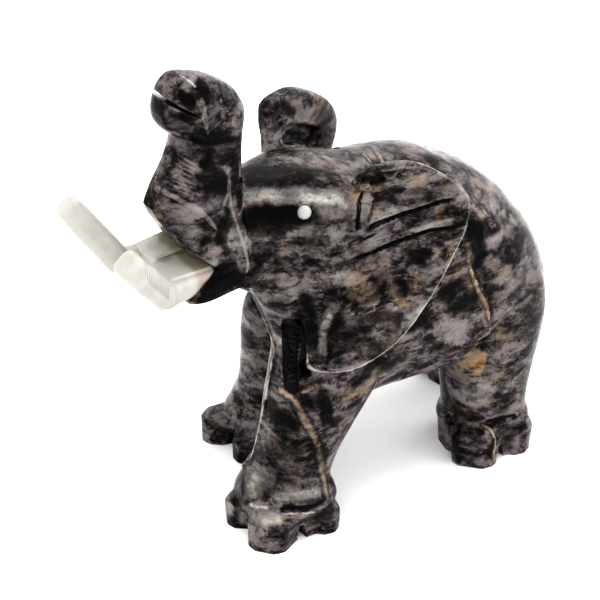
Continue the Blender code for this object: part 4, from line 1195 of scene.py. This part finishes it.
def build_tusk(side):
    """Flat-sided tusk with a row of fine strokes along the upper edge of its arm."""
    col = bpy.context.scene.collection
    obj = tusk(side, col, col)
    shape = coords(obj.data)
    inner = np.abs(shape[:, 0]) < 0.6
    shape[inner, 0] = 0.05 * side
    put_coords(obj.data, shape)
    for left in [o for o in col.objects if o.name.startswith("plate")]:
        bpy.data.objects.remove(left, do_unlink=True)
    obj.name = "tusk_fine_left" if side > 0 else "tusk_fine_right"
    low = coords(obj.data).min(axis=0)
    high = coords(obj.data).max(axis=0)
    rem = obj.modifiers.new("fine", 'REMESH')
    rem.mode = 'VOXEL'
    rem.voxel_size = 0.24 * MM
    smo = obj.modifiers.new("polish", 'SMOOTH')
    smo.factor = 0.5
    smo.iterations = 3
    apply_modifiers(obj)
    p, n = coords(obj.data), normals(obj.data)
    h = 0.20 * (noise(p, 5.0, 5) - 0.5) + 0.05 * (noise(p, 1.6, 9) - 0.5) - 0.06
    h = np.where(np.abs(p[:, 0]) < 1.2, 0.0, h)
    first, last = np.array((17.4, -58.0, 94.0)), np.array((15.0, -49.9, 84.4))
    for k in range(12):
        top = first + (last - first) * (k / 11.0)
        reach = 4.4 - 1.6 * max(0.0, 1.0 - k / 2.0)
        path = [tuple(top * (side, 1, 1)), tuple((top + np.array((0.3, 0.3, -reach))) * (side, 1, 1))]
        h += groove(p, n, path, 0.36, 0.22, 0.2)
    put_coords(obj.data, np.clip(p + n * h[:, None], low, high) + np.array(OFFSET))
    p, n, e = coords(obj.data) - np.array(OFFSET), normals(obj.data), edges(obj.data)
    strokes = np.full(len(p), 4.0)
    for k in range(12):
        top = first + (last - first) * (k / 11.0)
        reach = 4.4 - 1.6 * max(0.0, 1.0 - k / 2.0)
        path = [tuple(top * (side, 1, 1)), tuple((top + np.array((0.3, 0.3, -reach))) * (side, 1, 1))]
        strokes = np.minimum(strokes, near_path(p, n, path)[0] / 0.24)
    soft = p
    for k in range(6):
        soft = neighbour_mean(e, soft)
    bulge = np.einsum('ij,ij->i', p - soft, n)
    # strokes, then convex and concave masks for the painted highlight and painted shade
    write_layer(obj.data, "strokes", strokes, step(0.02, 0.14, bulge), step(-0.02, -0.14, bulge))
    obj.data.shade_smooth()
    return obj


def build_eye(side):
    x, y, z = EYE_CENTRE
    obj = ball("eye_bead_left" if side > 0 else "eye_bead_right", (side * x, y, z), BEAD,
               bpy.context.scene.collection, 24, 40)
    put_coords(obj.data, coords(obj.data) + np.array(OFFSET))
    obj.data.shade_smooth()
    return obj


# ---------------------------------------------------------------- materials
class Graph:
    """Builds one node material with short calls."""

    def __init__(self, name):
        self.mat = bpy.data.materials.new(name)
        self.mat.use_nodes = True
        self.tree = self.mat.node_tree
        self.shader = self.tree.nodes["Principled BSDF"]
        coord = self.node("ShaderNodeTexCoord")
        scale = self.vec("MULTIPLY", coord.outputs["Object"], (1 / MM, 1 / MM, 1 / MM))
        self.p = self.vec("SUBTRACT", scale, OFFSET)

    def node(self, kind, **props):
        n = self.tree.nodes.new(kind)
        for key, value in props.items():
            setattr(n, key, value)
        return n

    def put(self, socket, value):
        if isinstance(value, bpy.types.NodeSocket):
            self.tree.links.new(value, socket)
        elif value is not None:
            socket.default_value = value

    def math(self, op, a, b=None, c=None, clamp=False):
        n = self.node("ShaderNodeMath", operation=op, use_clamp=clamp)
        for k, v in enumerate((a, b, c)):
            self.put(n.inputs[k], v)
        return n.outputs[0]

    def vec(self, op, a, b=None, scale=None):
        n = self.node("ShaderNodeVectorMath", operation=op)
        self.put(n.inputs[0], a)
        self.put(n.inputs[1], b)
        if scale is not None:
            self.put(n.inputs["Scale"], scale)
        return n.outputs["Value"] if op in ("LENGTH", "DISTANCE", "DOT_PRODUCT") else n.outputs[0]

    def layer(self, name):
        """The three numbers stored on the vertices under that name."""
        a = self.node("ShaderNodeAttribute", attribute_name=name)
        split = self.node("ShaderNodeSeparateColor")
        self.put(split.inputs[0], a.outputs["Color"])
        return split.outputs[0], split.outputs[1], split.outputs[2]

    def noise(self, p, size, detail=4.0, rough=0.5, twist=0.0, colour=False):
        n = self.node("ShaderNodeTexNoise")
        self.put(n.inputs["Vector"], p)
        n.inputs["Scale"].default_value = 1.0 / size
        n.inputs["Detail"].default_value = detail
        n.inputs["Roughness"].default_value = rough
        n.inputs["Distortion"].default_value = twist
        return n.outputs["Color" if colour else "Fac"]

    def fit(self, v, a, b, c=0.0, d=1.0, smooth=True):
        n = self.node("ShaderNodeMapRange", interpolation_type='SMOOTHSTEP' if smooth else 'LINEAR')
        self.put(n.inputs["Value"], v)
        for name, x in (("From Min", a), ("From Max", b), ("To Min", c), ("To Max", d)):
            n.inputs[name].default_value = x
        return n.outputs["Result"]

    def ramp(self, fac, stops):
        n = self.node("ShaderNodeValToRGB")
        self.put(n.inputs["Fac"], fac)
        els = n.color_ramp.elements
        while len(els) > 1:
            els.remove(els[-1])
        els[0].position, els[0].color = stops[0][0], (*stops[0][1], 1.0)
        for pos, col in stops[1:]:
            el = els.new(pos)
            el.color = (*col, 1.0)
        return n.outputs["Color"]

    def mix(self, fac, a, b, mode='MIX'):
        n = self.node("ShaderNodeMix", data_type='RGBA', blend_type=mode)
        self.put(n.inputs["Factor"], fac)
        self.put(n.inputs[6], (*a, 1.0) if isinstance(a, tuple) else a)
        self.put(n.inputs[7], (*b, 1.0) if isinstance(b, tuple) else b)
        return n.outputs[2]

    def warp(self, p, size, amount, detail=3.0, rough=0.55):
        c = self.noise(p, size, detail, rough, colour=True)
        off = self.vec("SUBTRACT", c, (0.5, 0.5, 0.5))
        return self.vec("ADD", p, self.vec("SCALE", off, scale=amount))

    def patch(self, p, centre, radii, soft=0.5):
        """1 inside an ellipsoid, fading to 0 outside."""
        d = self.vec("SUBTRACT", p, centre)
        d = self.vec("MULTIPLY", d, tuple(1.0 / r for r in radii))
        return self.fit(self.vec("LENGTH", d), 1.0 + soft, 1.0 - soft)

    def line(self, p, a, b, width):
        """1 on a straight stretch of vein from a to b, fading to 0 at its width."""
        ab = tuple(y - x for x, y in zip(a, b))
        length2 = sum(x * x for x in ab)
        d = self.vec("SUBTRACT", p, a)
        t = self.math("MULTIPLY", self.vec("DOT_PRODUCT", d, ab), 1.0 / length2, clamp=True)
        foot = self.vec("SCALE", ab, scale=t)
        return self.fit(self.vec("DISTANCE", d, foot), width, width * 0.25)

    def vein(self, p, path, width):
        out = None
        for a, b in zip(path, path[1:]):
            k = self.line(p, a, b, width)
            out = k if out is None else self.math("MAXIMUM", out, k)
        return out


def marble():
    g = Graph("dark_marble_polished")
    p = g.p
    light, warm, weight = g.layer("clouds")
    edge, hollow_shade, painted_haze = g.layer("shape")
    bright, faint, dark = g.layer("lines")
    vein, rusty, pale = g.layer("veins")
    rib_off, rib_along, rib_side = g.layer("ribs")

    # wavy, nearly level beds broken into ragged grains
    wide = g.warp(p, 17.0, 6.0, 2.0)
    torn = g.warp(wide, 3.4, 1.5, 3.0)
    bed = g.vec("MULTIPLY", torn, (0.62, 0.50, 1.20))
    n1 = g.noise(bed, 9.0, 2.0, 0.5, 0.1)
    n2 = g.noise(g.vec("ADD", bed, (31.0, 7.0, 12.0)), 3.1, 5.0, 0.66, 0.15)
    n3 = g.noise(g.vec("ADD", torn, (5.0, 17.0, 2.0)), 1.15, 3.0, 0.60)
    grain = g.noise(p, 0.45, 2.0, 0.6)
    body = g.math("SUBTRACT", g.fit(n2, 0.37, 0.63), 0.5)
    tone = g.math("MULTIPLY_ADD", g.math("SUBTRACT", n1, 0.5), 1.35, 0.43)
    tone = g.math("MULTIPLY_ADD", body, 0.26, tone)
    tone = g.math("MULTIPLY_ADD", g.math("SUBTRACT", n2, 0.5), 0.60, tone)
    tone = g.math("MULTIPLY_ADD", g.math("SUBTRACT", n3, 0.5), 0.42, tone)
    tone = g.math("MULTIPLY_ADD", g.math("SUBTRACT", grain, 0.5), 0.14, tone)

    # thin dark seams between the grains, and small black and pale flecks
    seam = g.noise(g.vec("MULTIPLY", torn, (0.55, 0.45, 1.0)), 3.6, 2.0, 0.5)
    seam = g.fit(g.math("ABSOLUTE", g.math("SUBTRACT", seam, 0.5)), 0.030, 0.004)
    tone = g.math("MULTIPLY_ADD", seam, -0.13, tone)
    fleck = g.noise(g.vec("ADD", torn, (71.0, 3.0, 44.0)), 2.0, 3.0, 0.6)
    tone = g.math("MULTIPLY_ADD", g.fit(fleck, 0.60, 0.70), 0.14, tone)
    tone = g.math("MULTIPLY_ADD", g.fit(fleck, 0.40, 0.31), -0.16, tone)
    swing = g.math("SUBTRACT", tone, 0.43)

    # placed clouds, with edges broken up by the same grain
    ragged = g.math("MULTIPLY_ADD", g.math("SUBTRACT", n2, 0.5), 1.7, weight)
    ragged = g.math("MULTIPLY_ADD", g.math("SUBTRACT", n3, 0.5), 0.9, ragged)
    k = g.fit(ragged, 0.15, 0.80)
    placed = g.math("MULTIPLY_ADD", swing, 0.62, light)
    tone = g.math("MULTIPLY_ADD", k, g.math("SUBTRACT", placed, tone), tone)
    # painted sheen: the hindquarters and the top of the back lightened towards 0.64
    tone = g.math("MULTIPLY_ADD", painted_haze, g.math("MULTIPLY", g.math("SUBTRACT", 0.64, tone), 0.50), tone)

    chalk = g.math("MULTIPLY_ADD", g.math("SUBTRACT", n2, 0.5), 2.5, pale)
    chalk = g.math("MULTIPLY_ADD", g.math("SUBTRACT", n3, 0.5), 1.7, chalk)
    tone = g.math("MINIMUM", tone, g.math("MULTIPLY_ADD", tone, 0.42, 0.325))
    chalk_tone = g.math("MULTIPLY_ADD", swing, 0.50, 0.655)
    chalk = g.fit(chalk, 1.50, 0.50)
    tone = g.math("MULTIPLY_ADD", chalk, g.math("SUBTRACT", chalk_tone, tone), tone)

    # ribbed recess in front of the ear: painted shade darkens the recess, ribs lighter
    inside = g.math("MULTIPLY", g.fit(rib_off, 2.6, 1.9), rib_side)
    rib = g.math("SINE", g.math("MULTIPLY", rib_along, 2.0 * math.pi * RIBS))
    rib = g.math("MULTIPLY", g.fit(rib, -0.2, 0.9), g.fit(rib_off, 1.5, 0.9))
    rib_tone = g.math("MULTIPLY_ADD", rib, 0.16, g.math("MULTIPLY_ADD", swing, 0.20, 0.09))
    tone = g.math("MULTIPLY_ADD", inside, g.math("SUBTRACT", rib_tone, tone), tone)

    # painted highlights on convex edges, painted shade in concave spots and along the carved cuts, veins, thin
    # lines partly painted as ridge highlights, painted glints
    broken = g.fit(g.noise(p, 2.4, 3.0, 0.6), 0.34, 0.58, 0.55, 1.0)
    # painted highlight: convex edges a little lighter
    tone = g.math("MULTIPLY_ADD", edge, 0.10, tone)
    # painted shade: concave spots darker
    tone = g.math("MULTIPLY", tone, g.math("MULTIPLY_ADD", hollow_shade, -0.55, 1.0))
    # painted shade along the carved cuts
    cut_shade = g.math("MULTIPLY", g.fit(dark, 1.15, 0.30), g.fit(broken, 0.3, 1.0, 0.75, 1.0))
    tone = g.math("MULTIPLY", tone, g.math("MULTIPLY_ADD", cut_shade, -0.88, 1.0))
    vein = g.math("MULTIPLY_ADD", g.math("SUBTRACT", n3, 0.5), 2.2, vein)
    band = g.fit(vein, 1.7, 0.2)
    flank = g.math("MULTIPLY", g.fit(vein, 3.0, 1.6), g.math("SUBTRACT", 1.0, band))
    tone = g.math("MULTIPLY", tone, g.math("MULTIPLY_ADD", flank, -0.30, 1.0))
    vein_tone = g.math("MULTIPLY_ADD", swing, 0.35, 0.60)
    tone = g.math("MULTIPLY_ADD", g.math("MULTIPLY", band, broken), g.math("SUBTRACT", vein_tone, tone), tone)
    # faint pale lines, partly painted ridge highlights
    thin = g.math("MULTIPLY", g.fit(faint, 1.05, 0.35), broken)
    tone = g.math("MULTIPLY_ADD", g.math("MULTIPLY", thin, 0.62), g.math("SUBTRACT", 0.74, tone), tone)
    # painted glints along polished edges
    glint = g.math("MULTIPLY", g.fit(bright, 1.05, 0.40), broken)
    tone = g.math("MULTIPLY_ADD", g.math("MULTIPLY", glint, 0.85), g.math("SUBTRACT", 0.88, tone), tone)

    stain = g.fit(g.noise(g.vec("ADD", wide, (50.0, 9.0, 3.0)), 11.0, 3.0, 0.6), 0.56, 0.72, 0.0, 0.60)
    lilac = g.fit(g.noise(g.vec("ADD", wide, (9.0, 80.0, 3.0)), 8.0, 3.0, 0.55), 0.40, 0.62)
    green = g.fit(g.noise(g.vec("ADD", wide, (19.0, 8.0, 63.0)), 7.0, 3.0, 0.55), 0.54, 0.70)
    warm_mix = g.math("MULTIPLY_ADD", k, g.math("SUBTRACT", g.math("MULTIPLY", warm, 0.85), stain), stain)
    warm_mix = g.math("MULTIPLY_ADD", g.math("SUBTRACT", n2, 0.5), 0.6, warm_mix, clamp=True)
    grey = g.ramp(tone, [
        (0.00, (0.0008, 0.0007, 0.0008)), (0.10, (0.0024, 0.0020, 0.0022)),
        (0.22, (0.0090, 0.0076, 0.0078)), (0.34, (0.026, 0.0222, 0.0222)),
        (0.46, (0.060, 0.0520, 0.0520)), (0.58, (0.112, 0.1010, 0.0995)),
        (0.72, (0.205, 0.195, 0.189)), (0.86, (0.35, 0.343, 0.322)), (1.00, (0.58, 0.572, 0.538))])
    tint = g.mix(lilac, (1.0, 1.0, 0.985), (1.035, 0.965, 1.03))
    tint = g.mix(g.math("MULTIPLY", green, 0.7), tint, (0.96, 1.02, 0.93))
    tint = g.mix(g.math("MULTIPLY", chalk, 0.8), tint, (0.955, 1.0, 0.93))
    grey = g.mix(1.0, grey, tint, 'MULTIPLY')
    tan = g.ramp(tone, [
        (0.00, (0.0012, 0.0009, 0.0007)), (0.22, (0.014, 0.0095, 0.0055)),
        (0.38, (0.054, 0.0370, 0.0215)), (0.52, (0.125, 0.090, 0.058)),
        (0.66, (0.235, 0.180, 0.127)), (0.84, (0.40, 0.338, 0.262)), (1.00, (0.58, 0.520, 0.430))])
    warm_mix = g.math("MULTIPLY_ADD", g.math("MULTIPLY", band, 0.75), g.math("SUBTRACT", 1.0, warm_mix), warm_mix)
    colour = g.mix(warm_mix, grey, tan)
    ochre = g.mix(1.0, tan, (1.35, 0.92, 0.62), 'MULTIPLY')
    colour = g.mix(g.math("MULTIPLY", rusty, g.math("MULTIPLY", k, 0.8)), colour, ochre)
    g.put(g.shader.inputs["Base Color"], colour)
    g.shader.inputs["IOR"].default_value = 1.5
    g.shader.inputs["Specular IOR Level"].default_value = 0.07
    rough = g.fit(g.noise(p, 3.2, 4.0, 0.6), 0.3, 0.7, 0.12, 0.30)
    rough = g.math("MULTIPLY_ADD", hollow_shade, 0.25, rough)
    g.put(g.shader.inputs["Roughness"], rough)

    # hairline scratches and soft ripples of the polish
    scratch = g.noise(g.vec("MULTIPLY", g.warp(p, 12.0, 4.0, 1.0), (1.0, 0.16, 1.3)), 0.55, 2.0, 0.5)
    ripple = g.noise(p, 2.2, 4.0, 0.55)
    height = g.math("MULTIPLY_ADD", scratch, 0.22, ripple)
    bump = g.node("ShaderNodeBump")
    bump.inputs["Strength"].default_value = 0.30
    bump.inputs["Distance"].default_value = 0.00022
    g.put(bump.inputs["Height"], height)
    g.put(g.shader.inputs["Normal"], bump.outputs["Normal"])
    return g.mat


def pale_stone():
    """Cream stone of the tusks with faint tints, darker brown and olive patches and an olive band at the top of
    the root, fine strokes, painted highlights on convex edges and painted shade in concave spots.
    """
    g = Graph("pale_stone")
    p = g.p
    stroke, edge, hollow_shade = g.layer("strokes")
    c = g.ramp(g.noise(g.warp(p, 6.0, 3.0), 6.0, 5.0, 0.6), [
        (0.30, (0.325, 0.314, 0.286)), (0.50, (0.355, 0.346, 0.321)), (0.70, (0.388, 0.381, 0.358))])
    c = g.mix(g.fit(g.noise(g.vec("ADD", p, (9.0, 3.0, 1.0)), 5.0, 2.0), 0.52, 0.70, 0.0, 0.30), c,
              (0.29, 0.305, 0.265))
    c = g.mix(g.fit(g.noise(g.vec("ADD", p, (2.0, 8.0, 5.0)), 4.0, 2.0), 0.55, 0.72, 0.0, 0.35), c,
              (0.33, 0.285, 0.255))
    soft = g.warp(p, 2.4, 1.3)
    along = g.node("ShaderNodeSeparateXYZ")
    g.put(along.inputs[0], soft)
    x, y, z = along.outputs
    top = g.fit(z, 79.5, 81.8)
    c = g.mix(g.math("MULTIPLY", g.patch(soft, (-6.2, -40.6, 82.6), (2.6, 2.8, 2.6), 0.35), 0.45), c,
              (0.21, 0.175, 0.13))
    c = g.mix(g.math("MULTIPLY", g.patch(soft, (0.4, -42.2, 82.2), (1.7, 2.4, 2.4), 0.35), 0.70), c,
              (0.18, 0.165, 0.10))
    pink = g.patch(soft, (11.6, -36.8, 81.0), (2.6, 3.2, 3.4), 0.45)
    c = g.mix(g.math("MULTIPLY", pink, 0.60), c, (0.235, 0.17, 0.13))
    root = g.math("MULTIPLY", g.fit(y, -40.0, -38.0), top)
    root = g.math("MULTIPLY", root, g.fit(x, 12.0, 8.0))
    c = g.mix(g.math("MULTIPLY", root, 0.74), c, (0.165, 0.140, 0.075))
    c = g.mix(g.math("MULTIPLY", g.fit(stroke, 1.1, 0.3), 0.50), c, (0.17, 0.158, 0.135))
    # painted highlight on convex edges
    c = g.mix(g.math("MULTIPLY", edge, 0.30), c, (0.44, 0.436, 0.416))
    # painted shade in concave spots
    c = g.mix(g.math("MULTIPLY", hollow_shade, 0.20), c, (0.27, 0.255, 0.21))
    g.put(g.shader.inputs["Base Color"], c)
    g.shader.inputs["Subsurface Weight"].default_value = 0.40
    g.shader.inputs["Subsurface Radius"].default_value = (0.003, 0.0025, 0.0018)
    g.shader.inputs["Subsurface Scale"].default_value = 1.0
    g.put(g.shader.inputs["Roughness"], g.fit(g.noise(p, 3.0, 4.0), 0.3, 0.7, 0.28, 0.48))
    bump = g.node("ShaderNodeBump")
    bump.inputs["Strength"].default_value = 0.25
    bump.inputs["Distance"].default_value = 0.00015
    g.put(bump.inputs["Height"], g.noise(p, 1.4, 5.0, 0.6))
    g.put(g.shader.inputs["Normal"], bump.outputs["Normal"])
    return g.mat


def white_bead():
    g = Graph("white_bead")
    c = g.mix(g.noise(g.p, 1.2, 4.0, 0.6), (0.24, 0.245, 0.225), (0.40, 0.405, 0.38))
    g.put(g.shader.inputs["Base Color"], c)
    g.put(g.shader.inputs["Roughness"], g.fit(g.noise(g.p, 0.8, 3.0), 0.3, 0.7, 0.22, 0.42))
    return g.mat


def floor_paint():
    g = Graph("studio_floor")
    c = g.mix(g.noise(g.p, 60.0, 3.0), (0.88, 0.88, 0.88), (0.91, 0.91, 0.91))
    g.put(g.shader.inputs["Base Color"], c)
    g.shader.inputs["Roughness"].default_value = 0.9
    g.shader.inputs["Specular IOR Level"].default_value = 0.1
    return g.mat


def dress(obj, mat):
    obj.data.materials.clear()
    obj.data.materials.append(mat)


# ---------------------------------------------------------------- studio
def studio():
    scene = bpy.context.scene
    world = bpy.data.worlds.new("studio")
    world.use_nodes = True
    world.node_tree.nodes["Background"].inputs["Color"].default_value = (1.0, 1.0, 1.0, 1.0)
    world.node_tree.nodes["Background"].inputs["Strength"].default_value = 1.45
    scene.world = world
    scene.view_settings.view_transform = 'Standard'
    scene.view_settings.look = 'High Contrast'

    bm = bmesh.new()
    bmesh.ops.create_grid(bm, x_segments=2, y_segments=2, size=1500.0)
    floor = mesh_object("studio_floor", bm, scene.collection)
    floor.data.materials.append(floor_paint())

    def area(name, place, size, energy, aim=(0.0, 0.0, 0.06)):
        data = bpy.data.lights.new(name, 'AREA')
        data.shape = 'DISK'
        data.size = size
        data.energy = energy
        obj = bpy.data.objects.new(name, data)
        obj.location = place
        obj.rotation_euler = (Vector(place) - Vector(aim)).to_track_quat('Z', 'Y').to_euler()
        scene.collection.objects.link(obj)

    area("key_softbox", (0.25, -0.65, 0.75), 0.45, 0.9)
    area("top_softbox", (0.05, 0.15, 0.95), 0.6, 1.8)
    area("fill_softbox", (0.9, 0.5, 0.5), 0.5, 1.6)
    area("back_softbox", (0.1, 1.1, 0.55), 0.8, 5.0)


def camera():
    a, e = math.radians(AZIMUTH), math.radians(ELEVATION)
    back = Vector((math.sin(a) * math.cos(e), -math.cos(a) * math.cos(e), math.sin(e)))
    right = Vector((math.cos(a), math.sin(a), 0.0))
    up = back.cross(right)
    data = bpy.data.cameras.new("camera")
    data.lens = LENS
    data.sensor_width = 36.0
    data.clip_start = 0.01
    obj = bpy.data.objects.new("camera", data)
    target = (Vector(LOOK_AT) + Vector(OFFSET)) * MM
    rot = Matrix((right, up, back)).transposed().to_4x4()
    obj.matrix_world = Matrix.Translation(target + back * DISTANCE) @ rot
    bpy.context.scene.collection.objects.link(obj)
    bpy.context.scene.camera = obj


# ---------------------------------------------------------------- assembly
body = build_body()
dress(body, marble())
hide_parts("marble_elephant")
pieces = [body]
stone, bead = pale_stone(), white_bead()
for side, label in ((1, "left"), (-1, "right")):
    ivory = build_tusk(side)
    dress(ivory, stone)
    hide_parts("tusk_%s" % label)
    eye = build_eye(side)
    dress(eye, bead)
    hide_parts("eye_%s" % label)
    pieces += [ivory, eye]
for piece in pieces:
    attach(piece, "root")
    print("PIECE", piece.name, sum(len(f.vertices) - 2 for f in piece.data.polygons))

studio()
camera()
